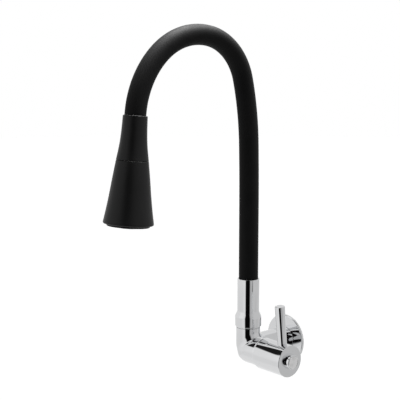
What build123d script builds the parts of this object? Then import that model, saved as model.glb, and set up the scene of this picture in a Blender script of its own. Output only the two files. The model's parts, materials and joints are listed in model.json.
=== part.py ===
from build123d import *
from math import cos, radians, sin
import os

os.makedirs("parts", exist_ok=True)

# A wall-mounted kitchen tap with a bendable hose spout, in millimetres.
# The wall is the plane Y = 0 and the tap stands out of it along -Y.
# The handle points along +X, the riser stands along +Z.
PROJECTION = 60.3  # from the wall to the axes of the valve and the riser

# Clearances
RUNNING = 0.05  # radial, between a turning part and its bore
PUSHED = 0.05  # radial, between two parts pushed into each other
BARB_FIT = 0.1  # radial, between a hose nipple and the tube on it
LOOSE = 0.2  # between parts that only pass or cover each other
MOVING_GAP = 0.3  # between faces that turn past each other

# Wall flange and its gasket
FLANGE_RADIUS = 27.2
FLANGE_HEIGHT = 3.2
FLANGE_SHEET = 1.4
FLANGE_EDGE = 1.1
FLANGE_RIM = 2.4

# Threaded tail in the wall fitting (G 1/2) and its filter
TAIL_RADIUS = 10.48
TAIL_LENGTH = 14.0
TAIL_CHAMFER = 1.0
WATERWAY_RADIUS = 6.5
FILTER_THICKNESS = 1.6
FILTER_RECESS = 1.0
FILTER_HOLE_RADIUS = 0.9
FILTER_HOLE_CIRCLE = 3.6
FILTER_HOLES = 6

# Ceramic discs and their seal, out along the valve axis from the seat
SEAT_PLANE = 2.0
SEAL_THICKNESS = 1.8
SEAL_OUTER = 7.6
SEAL_INNER = 4.4
DISC_THICKNESS = 3.0
DISC_RADIUS = 8.6
DISC_PORT_INNER = 2.0
DISC_PORT_OUTER = 6.6
DISC_PORT_ANGLE = 80.0
SPINDLE_FLANGE = 2.2
SEAL_TOP = SEAT_PLANE + SEAL_THICKNESS
DISC_JOINT = SEAL_TOP + DISC_THICKNESS
DISC_TOP = DISC_JOINT + DISC_THICKNESS
SPINDLE_FLANGE_TOP = DISC_TOP + SPINDLE_FLANGE

# Brass shell of the headwork, in the body's port
CAGE_WALL = 0.75
CAGE_SHOULDER = 2.6
CHAMBER_GAP = 0.9
WINDOW_WIDTH = 7.0
PORT_FACE = 30.0
HEADWORK_GASKET = 0.8
HEX_ACROSS_FLATS = 22.0
HEX_HEIGHT = 5.0
STEM_GUIDE_WALL = 2.05
STEM_GUIDE_LENGTH = 3.7
CAGE_OUTER = DISC_RADIUS + RUNNING + CAGE_WALL
CAGE_END = SPINDLE_FLANGE_TOP + CAGE_SHOULDER
PORT_RADIUS = CAGE_OUTER + CHAMBER_GAP
HEX_LOW = PORT_FACE + HEADWORK_GASKET
HEX_TOP = HEX_LOW + HEX_HEIGHT
STEM_GUIDE_END = HEX_TOP + STEM_GUIDE_LENGTH

# Spindle with its O-rings, clip and splined end
SPINDLE_RADIUS = 4.9
SPINDLE_RING_START = 6.4
SPINDLE_RING_PITCH = 5.0
SPINDLE_GROOVE_DEPTH = 1.3
SPINDLE_GROOVE_WIDTH = 1.8
RING_SQUEEZE_GAP = 0.03
SPINDLE_CLIP_WIDTH = 1.0
SPINDLE_CLIP_REACH = 1.7
SPINDLE_CLIP_DEPTH = 0.8
SPINDLE_CLIP_MOUTH = 5.0
SPINDLE_NECK = 3.5
SPLINE_LENGTH = 11.0
SPLINE_RADIUS = 4.0
SPLINE_TEETH = 20
SPLINE_DEPTH = 0.45
SPINDLE_BORE = SPINDLE_RADIUS + RUNNING
STEM_GUIDE_RADIUS = SPINDLE_BORE + STEM_GUIDE_WALL
SPINDLE_GROOVE_RADIUS = SPINDLE_RADIUS - SPINDLE_GROOVE_DEPTH
SPINDLE_CLIP_SEAT = SPINDLE_RADIUS - SPINDLE_CLIP_DEPTH
SPINDLE_RING_PLACES = [CAGE_END + SPINDLE_RING_START + number * SPINDLE_RING_PITCH for number in (0, 1)]
SPLINE_START = STEM_GUIDE_END + SPINDLE_NECK
SPINDLE_END = SPLINE_START + SPLINE_LENGTH

# Swivelling spigot in the top of the body, with its O-rings and clip
SOCKET_RADIUS = 8.55
SOCKET_DEPTH = 9.3
SPIGOT_RING_START = 2.3
SPIGOT_RING_PITCH = 2.6
SPIGOT_GROOVE_DEPTH = 1.45
SPIGOT_GROOVE_WIDTH = 1.8
CLIP_DROP = 1.0
CLIP_GROOVE_WIDTH = 1.4
CLIP_GROOVE_DEPTH = 0.85
CLIP_SEAT_DEPTH = 0.6
CLIP_MOUTH = 6.0
SPIGOT_FLANGE_RADIUS = 10.2
SPIGOT_FLANGE_HEIGHT = 4.0
SPIGOT_BORE = 3.2
SPIGOT_RADIUS = SOCKET_RADIUS - RUNNING
CLIP_GROOVE_RADIUS = SOCKET_RADIUS + CLIP_GROOVE_DEPTH
CLIP_SEAT_RADIUS = SPIGOT_RADIUS - CLIP_SEAT_DEPTH

# Cast valve body round all of these
NECK_RADIUS = 13.6
NECK_DOME_SETBACK = 12.3  # from the valve axis back to the centre of the neck's rounded end
LEG_WALL = 4.55
LEG_TOP = 24.3
LEG_TAPER_TOP = 16.0
ELBOW_SWELL = 0.5
ELBOW_BEND = 6.0
BARREL_WALL = 4.9
BARREL_START = 12.0
SEAT_PORT_RADIUS = 3.6
WELL_RADIUS = 4.5
WELL_OFFSET = 4.0
OUTLET_RADIUS = 3.0
OUTLET_INSET = 0.15
NECK_DOME_Y = PROJECTION - NECK_DOME_SETBACK
LEG_RADIUS = SOCKET_RADIUS + LEG_WALL
ELBOW_RADIUS = LEG_RADIUS + ELBOW_SWELL
BARREL_RADIUS = PORT_RADIUS + BARREL_WALL
OUTLET_OFFSET = SOCKET_RADIUS - OUTLET_RADIUS - OUTLET_INSET
SOCKET_FLOOR = LEG_TOP - SOCKET_DEPTH
CLIP_GROOVE_HIGH = LEG_TOP - CLIP_DROP
CLIP_GROOVE_LOW = CLIP_GROOVE_HIGH - CLIP_GROOVE_WIDTH
SPIGOT_FOOT = SOCKET_FLOOR + MOVING_GAP
SPIGOT_GROOVE_RADIUS = SPIGOT_RADIUS - SPIGOT_GROOVE_DEPTH
SPIGOT_RING_PLACES = [SPIGOT_FOOT + SPIGOT_RING_START + number * SPIGOT_RING_PITCH for number in (0, 1)]

# Handle: a sleeve round the barrel, solid where it grips the spindle
HANDLE_WALL = 1.6
HANDLE_LAP = 9.7
HANDLE_SPLINE_ENTRY = 3.5
HANDLE_SOLID = 17.2
HANDLE_CHAMFER = 0.7
HANDLE_SKIRT_EDGE = 0.4
HANDLE_RADIUS = BARREL_RADIUS + LOOSE + HANDLE_WALL
HANDLE_START = PORT_FACE - HANDLE_LAP
HANDLE_CAVITY_END = SPLINE_START + HANDLE_SPLINE_ENTRY
HANDLE_END = HANDLE_CAVITY_END + HANDLE_SOLID

# Pin lever screwed into the handle
LEVER_INSET = 9.7  # from the handle's end back to the lever's axis
LEVER_LEAN = 6.0  # from upright towards -Y, in degrees
LEVER_LENGTH = 43.2
LEVER_SINK = 1.4
LEVER_BASE_RADIUS = 4.85
LEVER_TIP_RADIUS = 5.4
LEVER_EDGE = 0.9
STUD_RADIUS = 3.0
STUD_DEPTH = 6.5
LEVER_X = HANDLE_END - LEVER_INSET
LEVER_SEAT = HANDLE_RADIUS - LEVER_SINK
LEVER_TIP = LEVER_SEAT + LEVER_LENGTH

# Handle screw and the plain button over it
HANDLE_SCREW_RADIUS = 2.0
HANDLE_SCREW_LENGTH = 12.0
SCREW_HEAD_RADIUS = 3.6
SCREW_HEAD_HEIGHT = 2.2
SCREW_KEY_ACROSS = 2.5
SCREW_KEY_DEPTH = 1.3
BUTTON_RECESS_RADIUS = 6.6
BUTTON_RECESS_DEPTH = 4.7
BUTTON_RADIUS = 9.2
BUTTON_FACE_RADIUS = 7.4
BUTTON_HEIGHT = 5.0
BUTTON_SHOULDER = 2.0
BUTTON_PLUG_DEPTH = 2.4
BUTTON_PLUG_WALL = 1.4

# Hose: silicone sleeve over a shape-holding coil tube over the water tube
TUBE_INNER = 4.7
TUBE_WALL = 1.6
COIL_CLEARANCE = 0.4
COIL_WALL = 1.6
SLEEVE_WALL = 2.0
HOSE_LEG = 156.9  # height of the hose's first bending place
HOSE_SPAN = 68.1  # length of hose from one bending place to the next
HOSE_TURNS = (1.6, 12.2, 66.2, 51.2, 43.5)  # bend of each span, in degrees
DOME_MARGIN = 2.1
TUBE_OUTER = TUBE_INNER + TUBE_WALL
COIL_INNER = TUBE_OUTER + COIL_CLEARANCE
COIL_OUTER = COIL_INNER + COIL_WALL
SLEEVE_INNER = COIL_OUTER + LOOSE
SLEEVE_OUTER = SLEEVE_INNER + SLEEVE_WALL
BEND_DOME = SLEEVE_OUTER + DOME_MARGIN  # radius of the round ends that two spans turn on
NIPPLE_RADIUS = TUBE_INNER - BARB_FIT

# Riser collar over a slip washer, and the cup that holds the foot of the hose
WASHER_HEIGHT = 0.9
WASHER_LIP = 0.1
BULGE_STEP = 2.4
BULGE_HEIGHT = 10.1
SHOULDER_HEIGHT = 6.8
COLLAR_WALL = 1.45
COLLAR_TUBE = 35.5
COLLAR_EDGE = 0.5
COLLAR_WEB_RISE = 0.8
FERRULE_BASE = 2.5
FERRULE_GRIP = 14.0
NIPPLE_DROP = 4.0
WASHER_RADIUS = LEG_RADIUS + WASHER_LIP
WASHER_LOW = LEG_TOP + MOVING_GAP
COLLAR_LOW = WASHER_LOW + WASHER_HEIGHT + MOVING_GAP
COLLAR_BORE = SLEEVE_OUTER + PUSHED
COLLAR_RADIUS = COLLAR_BORE + COLLAR_WALL
BULGE_RADIUS = COLLAR_RADIUS + BULGE_STEP
BULGE_TOP = COLLAR_LOW + BULGE_HEIGHT
SHOULDER_TOP = BULGE_TOP + SHOULDER_HEIGHT
COLLAR_TOP = SHOULDER_TOP + COLLAR_TUBE
SPIGOT_FLANGE_TOP = COLLAR_LOW + SPIGOT_FLANGE_HEIGHT
COLLAR_WEB_TOP = SHOULDER_TOP + COLLAR_WEB_RISE
FERRULE_FLOOR = COLLAR_WEB_TOP + FERRULE_BASE
FERRULE_TOP = FERRULE_FLOOR + FERRULE_GRIP
NIPPLE_TOP = FERRULE_TOP - NIPPLE_DROP

# Outside of the spray head, down its own axis from its top rim: (radius, place)
HEAD_TOP_WALL = 1.4
HEAD_THROAT = (12.5, 15.0)
HEAD_WAIST = (13.8, 30.0)
HEAD_SEAM = (15.9, 43.2)
CONE_UPPER = (18.2, 60.0)
CONE_MIDDLE = (20.3, 76.0)
CONE_LOWER = (22.55, 91.0)
HEAD_RIM = (25.0, 105.0)
HEAD_EDGE = 1.0
RIM_EDGE = 1.5
SHELL_WALL = 2.0
HEAD_TOP_RADIUS = SLEEVE_OUTER + PUSHED + HEAD_TOP_WALL

# End of the hose in the head, and the inner barrel that it screws into
HOSE_IN_HEAD = 12.5
END_FLANGE_HEIGHT = 4.0
END_NIPPLE_TOP = 2.0
END_STUB_RADIUS = 7.0
END_STUB_LENGTH = 8.0
CORE_RADIUS = 9.4
CORE_SOCKET_GAP = 1.3
CORE_WASHER_HEIGHT = 1.2
CORE_BORE = 6.0
CORE_FLANGE_LOW = 35.0
CORE_FLANGE_HEIGHT = 3.0
CORE_STOP_HEIGHT = 5.0
CORE_END = 60.0
CORE_FLOOR = 4.0
PORT_CIRCLE = 5.2
PORT_HOLE_RADIUS = 2.0
PORT_SEAL_RADIUS = 3.4
PORT_SEAL_HEIGHT = 1.2
END_FLANGE_RADIUS = SLEEVE_OUTER - LOOSE
END_FLANGE_LOW = HOSE_IN_HEAD + LOOSE
END_FLANGE_END = END_FLANGE_LOW + END_FLANGE_HEIGHT
END_STUB_END = END_FLANGE_END + END_STUB_LENGTH
CORE_TOP = END_FLANGE_END + CORE_SOCKET_GAP
CORE_SOCKET_END = END_STUB_END + LOOSE + CORE_WASHER_HEIGHT

# Turning jet selector: drum, front plate, nozzle mat and aerator
DRUM_DISC = 4.0
DRUM_TUBE_RADIUS = 9.6
DRUM_TUBE_WALL = 2.0
PIVOT_SCREW_RADIUS = 1.5
PIVOT_HEAD_RADIUS = 3.0
PIVOT_HEAD_HEIGHT = 1.8
CONE_STOP_LEDGE = 1.4
FACE_THICKNESS = 3.0
FACE_PROUD = 2.0
FACE_INSET = 2.0
FACE_EDGE = 0.7
FACE_RIM_GAP = 0.9
MAT_THICKNESS = 1.5
NOZZLE_RADIUS = 1.15
NOZZLE_TIP_RADIUS = 0.8
NOZZLE_PROUD = 0.4
NOZZLE_RINGS = ((12.4, 12), (16.2, 18))  # circle radius and nozzle count
AERATOR_PROUD = 1.6
AERATOR_EDGE = 0.5
AERATOR_LENGTH = 17.5
AERATOR_WALL = 1.0
AERATOR_BAR = 0.9
AERATOR_BAR_HEIGHT = 1.2
AERATOR_BARS = 5
DRUM_TUBE_INNER = DRUM_TUBE_RADIUS - DRUM_TUBE_WALL
DRUM_TOP = CORE_END + MOVING_GAP
DRUM_DISC_END = DRUM_TOP + DRUM_DISC
DRUM_DISC_RADIUS = CONE_UPPER[0] - SHELL_WALL - LOOSE
FACE_BACK = HEAD_RIM[1] - FACE_THICKNESS
FACE_FRONT = HEAD_RIM[1] + FACE_PROUD
FACE_RADIUS = HEAD_RIM[0] - SHELL_WALL - FACE_INSET
FACE_BACK_RADIUS = HEAD_RIM[0] - SHELL_WALL - FACE_RIM_GAP
FACE_HOLE_RADIUS = NOZZLE_RADIUS + LOOSE
MAT_BACK = FACE_BACK - MAT_THICKNESS
AERATOR_FRONT = FACE_FRONT + AERATOR_PROUD
AERATOR_RADIUS = DRUM_TUBE_INNER - LOOSE
AERATOR_LIP = DRUM_TUBE_RADIUS - LOOSE

UP = (Align.CENTER, Align.CENTER, Align.MIN)
RISER = Pos(0, -PROJECTION, 0)  # local Z goes up the riser
VALVE = RISER * Rot(0, 90, 0)  # local Z goes out along the handle
INLET = Rot(90, 0, 0)  # local Z goes out of the wall


def turned(*outline):
    """Solid turned about Z from the (radius, height) points of its half section."""
    points = [(radius, 0, height) for radius, height in outline]
    return revolve(make_face(Polyline(*points, close=True)), Axis.Z)


def ring(outer, inner, low, high):
    """Plain turned ring between two heights."""
    return turned((inner, low), (outer, low), (outer, high), (inner, high))


def rod(radius, low, high):
    """Plain round bar between two heights."""
    return Pos(0, 0, low) * Cylinder(radius, high - low, align=UP)


def seal_ring(groove_radius, bore_radius, height):
    """O-ring that fills the space between a groove and the bore round it."""
    section = (bore_radius - groove_radius) / 2 - RING_SQUEEZE_GAP
    return Pos(0, 0, height) * Torus((bore_radius + groove_radius) / 2, section)


def split_clip(outer, inner, low, high, mouth):
    """Open retaining clip: a flat ring with a mouth cut through one side."""
    opening = Pos(outer, 0, low) * Box(2 * outer, mouth, high - low, align=UP)
    return ring(outer, inner, low, high) - opening


def wall_flange():
    """Round cover over the hole in the wall, hollow behind for its gasket."""
    shell = rod(FLANGE_RADIUS, 0, FLANGE_HEIGHT)
    shell = fillet(shell.edges().group_by(Axis.Z)[-1], FLANGE_EDGE)
    hollow = rod(FLANGE_RADIUS - FLANGE_RIM, 0, FLANGE_HEIGHT - FLANGE_SHEET)
    return INLET * (shell - hollow - rod(NECK_RADIUS + LOOSE, 0, FLANGE_HEIGHT))


def flange_gasket():
    """Soft ring between the flange and the wall."""
    outer = FLANGE_RADIUS - FLANGE_RIM - LOOSE
    return INLET * ring(outer, NECK_RADIUS + LOOSE, 0, FLANGE_HEIGHT - FLANGE_SHEET)


def casting():
    """Outside of the valve body: neck, elbow, riser leg, handle barrel and tail."""
    tail = rod(TAIL_RADIUS, -TAIL_LENGTH, 1)
    tail = chamfer(tail.edges().group_by(Axis.Z)[0], TAIL_CHAMFER)
    neck = rod(NECK_RADIUS, 0, NECK_DOME_Y) + Pos(0, 0, NECK_DOME_Y) * Sphere(NECK_RADIUS)
    leg = turned(
        (0, ELBOW_BEND),
        (ELBOW_RADIUS, ELBOW_BEND),
        (LEG_RADIUS, LEG_TAPER_TOP),
        (LEG_RADIUS, LEG_TOP),
        (0, LEG_TOP),
    )
    barrel = turned(
        (0, ELBOW_BEND),
        (ELBOW_RADIUS, ELBOW_BEND),
        (BARREL_RADIUS, BARREL_START),
        (BARREL_RADIUS, PORT_FACE),
        (0, PORT_FACE),
    )
    beyond = Pos(ELBOW_BEND + ELBOW_RADIUS, 0) * Rectangle(2 * ELBOW_RADIUS, 2 * ELBOW_RADIUS)
    section = Pos(0, 0, ELBOW_BEND) * (Circle(ELBOW_RADIUS) - beyond)
    corner = revolve(section, Axis((ELBOW_BEND, 0, ELBOW_BEND), (0, -1, 0)), 90)
    return INLET * (tail + neck) + RISER * (leg + corner) + VALVE * barrel


def valve_body():
    """The casting with its waterways, valve chamber and riser socket cut in."""
    body = casting()
    body -= INLET * rod(WATERWAY_RADIUS, -TAIL_LENGTH, NECK_DOME_Y - WELL_RADIUS)
    body -= Pos(-WELL_OFFSET, 0, 0) * INLET * rod(WELL_RADIUS, NECK_DOME_Y - NECK_RADIUS, PROJECTION)
    body -= VALVE * rod(SEAT_PORT_RADIUS, -WELL_OFFSET, SEAT_PLANE)
    body -= VALVE * rod(PORT_RADIUS, SEAT_PLANE, PORT_FACE)
    body -= RISER * Pos(OUTLET_OFFSET, 0, 0) * rod(OUTLET_RADIUS, 0, SOCKET_FLOOR)
    body -= RISER * rod(SOCKET_RADIUS, SOCKET_FLOOR, LEG_TOP)
    body -= RISER * rod(CLIP_GROOVE_RADIUS, CLIP_GROOVE_LOW, CLIP_GROOVE_HIGH)
    return body


def inlet_filter():
    """Pierced disc that keeps grit out, near the end of the tail."""
    low = FILTER_RECESS - TAIL_LENGTH
    disc = rod(WATERWAY_RADIUS - PUSHED, low, low + FILTER_THICKNESS)
    hole = rod(FILTER_HOLE_RADIUS, low, low + FILTER_THICKNESS)
    disc -= hole
    disc -= PolarLocations(FILTER_HOLE_CIRCLE, FILTER_HOLES) * hole
    return INLET * disc


def seat_seal():
    """Rubber ring that seals the headwork on the seat."""
    return VALVE * ring(SEAL_OUTER, SEAL_INNER, SEAT_PLANE, SEAL_TOP)


def ceramic_disc(low, turn):
    """Polished disc with two bow-tie water ports, turned by an angle."""
    disc = rod(DISC_RADIUS, low, low + DISC_THICKNESS)
    half = radians(DISC_PORT_ANGLE / 2)
    for side in (0, 180):
        wedge = make_face(
            Polyline(
                (DISC_PORT_INNER * cos(half), -DISC_PORT_INNER * sin(half)),
                (DISC_PORT_OUTER * cos(half), -DISC_PORT_OUTER * sin(half)),
                (DISC_PORT_OUTER, 0),
                (DISC_PORT_OUTER * cos(half), DISC_PORT_OUTER * sin(half)),
                (DISC_PORT_INNER * cos(half), DISC_PORT_INNER * sin(half)),
                close=True,
            )
        )
        disc -= Pos(0, 0, low) * Rot(0, 0, turn + side) * extrude(wedge, DISC_THICKNESS)
    return VALVE * disc


def headwork_body():
    """Brass shell of the headwork: disc cage, thread length, hexagon and stem guide."""
    shell = rod(CAGE_OUTER, SEAL_TOP, CAGE_END)
    shell += rod(PORT_RADIUS - PUSHED, CAGE_END, HEX_LOW)
    hexagon = RegularPolygon(HEX_ACROSS_FLATS / 2, 6, major_radius=False)
    shell += Pos(0, 0, HEX_LOW) * extrude(hexagon, HEX_HEIGHT)
    shell += rod(STEM_GUIDE_RADIUS, HEX_TOP, STEM_GUIDE_END)
    shell -= rod(DISC_RADIUS + RUNNING, SEAL_TOP, SPINDLE_FLANGE_TOP + RUNNING)
    shell -= rod(SPINDLE_BORE, SEAL_TOP, STEM_GUIDE_END)
    window_height = CAGE_END - DISC_JOINT
    window = Pos(0, 0, DISC_JOINT) * Box(3 * CAGE_OUTER, WINDOW_WIDTH, window_height, align=UP)
    return VALVE * (shell - window)


def headwork_gasket():
    """Fibre washer between the hexagon and the port face."""
    return VALVE * ring(HEX_ACROSS_FLATS / 2 + LOOSE, PORT_RADIUS + LOOSE, PORT_FACE, HEX_LOW)


def spindle():
    """Spindle that drives the upper disc, with ring grooves and a splined end."""
    stem = rod(DISC_RADIUS, DISC_TOP, SPINDLE_FLANGE_TOP)
    stem += rod(SPINDLE_RADIUS, SPINDLE_FLANGE_TOP, SPLINE_START)
    stem += rod(SPLINE_RADIUS, SPLINE_START, SPINDLE_END)
    for place in SPINDLE_RING_PLACES:
        low = place - SPINDLE_GROOVE_WIDTH / 2
        stem -= ring(SPINDLE_RADIUS, SPINDLE_GROOVE_RADIUS, low, low + SPINDLE_GROOVE_WIDTH)
    clip_high = STEM_GUIDE_END + SPINDLE_CLIP_WIDTH
    stem -= ring(SPINDLE_RADIUS, SPINDLE_CLIP_SEAT, STEM_GUIDE_END, clip_high)
    notch = Pos(0, 0, SPLINE_START) * Box(
        SPLINE_DEPTH, SPLINE_DEPTH, SPINDLE_END - SPLINE_START, align=UP
    )
    stem -= PolarLocations(SPLINE_RADIUS, SPLINE_TEETH) * notch
    stem -= rod(HANDLE_SCREW_RADIUS, SPINDLE_END - HANDLE_SCREW_LENGTH, SPINDLE_END)
    return VALVE * stem


def spindle_rings():
    """Two O-rings on the spindle."""
    rings = [seal_ring(SPINDLE_GROOVE_RADIUS, SPINDLE_BORE, place) for place in SPINDLE_RING_PLACES]
    return VALVE * Compound(children=rings)


def spindle_clip():
    """Clip that holds the spindle in the headwork."""
    inner = SPINDLE_CLIP_SEAT + RUNNING
    outer = SPINDLE_RADIUS + SPINDLE_CLIP_REACH
    low = STEM_GUIDE_END + RUNNING
    high = STEM_GUIDE_END + SPINDLE_CLIP_WIDTH - RUNNING
    return VALVE * split_clip(outer, inner, low, high, SPINDLE_CLIP_MOUTH)


def on_lever(shape):
    """Places a shape drawn along Z onto the lever's own axis."""
    return RISER * Pos(LEVER_X, 0, 0) * Rot(LEVER_LEAN, 0, 0) * shape


def handle_sleeve():
    """Turned handle: open skirt over the barrel, solid end on the spline."""
    sleeve = rod(HANDLE_RADIUS, HANDLE_START, HANDLE_END)
    sleeve = chamfer(sleeve.edges().group_by(Axis.Z)[-1], HANDLE_CHAMFER)
    sleeve = fillet(sleeve.edges().group_by(Axis.Z)[0], HANDLE_SKIRT_EDGE)
    sleeve -= rod(BARREL_RADIUS + LOOSE, HANDLE_START, HANDLE_CAVITY_END)
    sleeve -= rod(SPLINE_RADIUS + PUSHED, HANDLE_CAVITY_END, SPINDLE_END + LOOSE)
    recess_floor = HANDLE_END - BUTTON_RECESS_DEPTH
    sleeve -= rod(HANDLE_SCREW_RADIUS + LOOSE, SPINDLE_END, recess_floor)
    sleeve -= rod(BUTTON_RECESS_RADIUS, recess_floor, HANDLE_END)
    sleeve = VALVE * sleeve
    sleeve -= on_lever(rod(LEVER_BASE_RADIUS + PUSHED, LEVER_SEAT, HANDLE_RADIUS))
    return sleeve - on_lever(rod(STUD_RADIUS, LEVER_SEAT - STUD_DEPTH, LEVER_SEAT))


def handle_lever():
    """Slightly tapered pin with a rounded tip and a stud that screws into the sleeve."""
    pin = turned(
        (0, LEVER_SEAT),
        (LEVER_BASE_RADIUS, LEVER_SEAT),
        (LEVER_TIP_RADIUS, LEVER_TIP),
        (0, LEVER_TIP),
    )
    pin = fillet(pin.edges().group_by(Axis.Z)[-1], LEVER_EDGE)
    return on_lever(pin + rod(STUD_RADIUS - PUSHED, LEVER_SEAT - STUD_DEPTH + LOOSE, LEVER_SEAT))


def handle_screw():
    """Screw that pulls the handle onto the spindle."""
    floor = HANDLE_END - BUTTON_RECESS_DEPTH
    tip = SPINDLE_END - HANDLE_SCREW_LENGTH + LOOSE
    screw = rod(HANDLE_SCREW_RADIUS - PUSHED, tip, floor)
    screw += rod(SCREW_HEAD_RADIUS, floor, floor + SCREW_HEAD_HEIGHT)
    key = extrude(RegularPolygon(SCREW_KEY_ACROSS / 2, 6, major_radius=False), SCREW_KEY_DEPTH)
    return VALVE * (screw - Pos(0, 0, floor + SCREW_HEAD_HEIGHT - SCREW_KEY_DEPTH) * key)


def index_button():
    """Plain round button that hides the handle screw."""
    top = HANDLE_END + BUTTON_HEIGHT
    cap = turned(
        (0, HANDLE_END),
        (BUTTON_RADIUS, HANDLE_END),
        (BUTTON_RADIUS, top - BUTTON_SHOULDER),
        (BUTTON_FACE_RADIUS, top),
        (0, top),
    )
    shoulder = cap.edges().filter_by(GeomType.CIRCLE).group_by(Axis.Z)[1]
    cap = fillet(shoulder, BUTTON_SHOULDER / 2)
    plug_outer = BUTTON_RECESS_RADIUS - PUSHED
    plug_low = HANDLE_END - BUTTON_PLUG_DEPTH
    return VALVE * (cap + ring(plug_outer, plug_outer - BUTTON_PLUG_WALL, plug_low, HANDLE_END))


def slip_washer():
    """Thin washer that the collar turns on, seen as a fine line under it."""
    return RISER * ring(WASHER_RADIUS, SPIGOT_RADIUS + LOOSE, WASHER_LOW, WASHER_LOW + WASHER_HEIGHT)


def swivel_spigot():
    """Brass spigot: turns in the body's socket and carries the water tube."""
    spigot = rod(SPIGOT_RADIUS, SPIGOT_FOOT, COLLAR_LOW)
    spigot += rod(SPIGOT_FLANGE_RADIUS, COLLAR_LOW, SPIGOT_FLANGE_TOP)
    spigot += rod(NIPPLE_RADIUS, SPIGOT_FLANGE_TOP, NIPPLE_TOP)
    for place in SPIGOT_RING_PLACES:
        low = place - SPIGOT_GROOVE_WIDTH / 2
        spigot -= ring(SPIGOT_RADIUS, SPIGOT_GROOVE_RADIUS, low, low + SPIGOT_GROOVE_WIDTH)
    spigot -= ring(SPIGOT_RADIUS, CLIP_SEAT_RADIUS, CLIP_GROOVE_LOW, CLIP_GROOVE_HIGH)
    return RISER * (spigot - rod(SPIGOT_BORE, SPIGOT_FOOT, NIPPLE_TOP))


def spigot_rings():
    """Two O-rings between the spigot and its socket."""
    rings = [seal_ring(SPIGOT_GROOVE_RADIUS, SOCKET_RADIUS, place) for place in SPIGOT_RING_PLACES]
    return RISER * Compound(children=rings)


def spigot_clip():
    """Open clip that locks the spigot in the socket and lets it turn."""
    low = CLIP_GROOVE_LOW + LOOSE
    high = CLIP_GROOVE_HIGH - LOOSE
    outer = CLIP_GROOVE_RADIUS - LOOSE
    return RISER * split_clip(outer, CLIP_SEAT_RADIUS + PUSHED, low, high, CLIP_MOUTH)


def swivel_collar():
    """Chrome riser collar: wide foot, curved shoulder and straight tube."""
    outline = Polyline((0, 0, COLLAR_LOW), (BULGE_RADIUS, 0, COLLAR_LOW), (BULGE_RADIUS, 0, BULGE_TOP))
    shoulder = Spline(
        (BULGE_RADIUS, 0, BULGE_TOP),
        ((BULGE_RADIUS + COLLAR_RADIUS) / 2, 0, (BULGE_TOP + SHOULDER_TOP) / 2),
        (COLLAR_RADIUS, 0, SHOULDER_TOP),
        tangents=((0, 0, 1), (0, 0, 1)),
    )
    rest = Polyline(
        (COLLAR_RADIUS, 0, SHOULDER_TOP),
        (COLLAR_RADIUS, 0, COLLAR_TOP),
        (0, 0, COLLAR_TOP),
        (0, 0, COLLAR_LOW),
    )
    collar = revolve(make_face(outline + shoulder + rest), Axis.Z)
    ends = collar.edges().filter_by(GeomType.CIRCLE).group_by(Axis.Z)
    collar = fillet(ends[0] + ends[-1], COLLAR_EDGE)
    collar -= rod(SPIGOT_FLANGE_RADIUS + PUSHED, COLLAR_LOW, SPIGOT_FLANGE_TOP)
    collar -= rod(TUBE_OUTER + LOOSE, SPIGOT_FLANGE_TOP, COLLAR_WEB_TOP)
    return RISER * (collar - rod(COLLAR_BORE, COLLAR_WEB_TOP, COLLAR_TOP))


def hose_ferrule():
    """Cup that grips the coil tube and stops the silicone sleeve."""
    cup = ring(COLLAR_BORE - PUSHED, TUBE_OUTER + LOOSE, COLLAR_WEB_TOP, FERRULE_TOP)
    return RISER * (cup - rod(COIL_OUTER + PUSHED, FERRULE_FLOOR, FERRULE_TOP))


def bend(turn):
    """Step from one bending place of the hose to the next."""
    radius = HOSE_SPAN / radians(turn)
    return Pos(0, -radius * (1 - cos(radians(turn))), radius * sin(radians(turn))) * Rot(turn, 0, 0)


STATIONS = [RISER * Pos(0, 0, HOSE_LEG)]
for hose_turn in HOSE_TURNS:
    STATIONS.append(STATIONS[-1] * bend(hose_turn))
HEAD = STATIONS[-1]  # local Z goes down the head's axis from its top rim


def bent_tube(number, outer, inner):
    """One bent length of tube, between two bending places."""
    start = STATIONS[number]
    turn = HOSE_TURNS[number]
    centre = start * Pos(0, -HOSE_SPAN / radians(turn), 0)
    return revolve(start * (Circle(outer) - Circle(inner)), Axis(centre.position, (1, 0, 0)), turn)


def hose_layer(outer, inner, foot):
    """One layer of the hose as spans that meet in round ends at the bending places."""
    bends = [bent_tube(number, outer, inner) for number in range(len(HOSE_TURNS))]
    spans = [RISER * ring(outer, inner, foot, HOSE_LEG)]
    for number, tube in enumerate(bends):
        joint = STATIONS[number]
        spans[-1] += tube & (joint * Sphere(BEND_DOME))
        spans.append(tube - joint * Sphere(BEND_DOME + MOVING_GAP))
    spans[-1] += HEAD * ring(outer, inner, 0, HOSE_IN_HEAD)
    return spans


def head_ferrule():
    """Brass end of the hose: nipple in the water tube, flange and threaded stub."""
    end = rod(NIPPLE_RADIUS, END_NIPPLE_TOP, END_FLANGE_LOW)
    end += rod(END_FLANGE_RADIUS, END_FLANGE_LOW, END_FLANGE_END)
    end += rod(END_STUB_RADIUS, END_FLANGE_END, END_STUB_END)
    return HEAD * (end - rod(SPIGOT_BORE, END_NIPPLE_TOP, END_STUB_END))


def shell_of(outline, low, high):
    """Turned shell: an outside curve through points, and a wall inside it."""
    outside = Spline(*[(radius, 0, height) for radius, height in outline])
    inside = Spline(*[(radius - SHELL_WALL, 0, height) for radius, height in outline])
    top = Line((outline[0][0] - SHELL_WALL, 0, low), (outline[0][0], 0, low))
    foot = Line((outline[-1][0], 0, high), (outline[-1][0] - SHELL_WALL, 0, high))
    return revolve(make_face(outside + foot + inside + top), Axis.Z)


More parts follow.
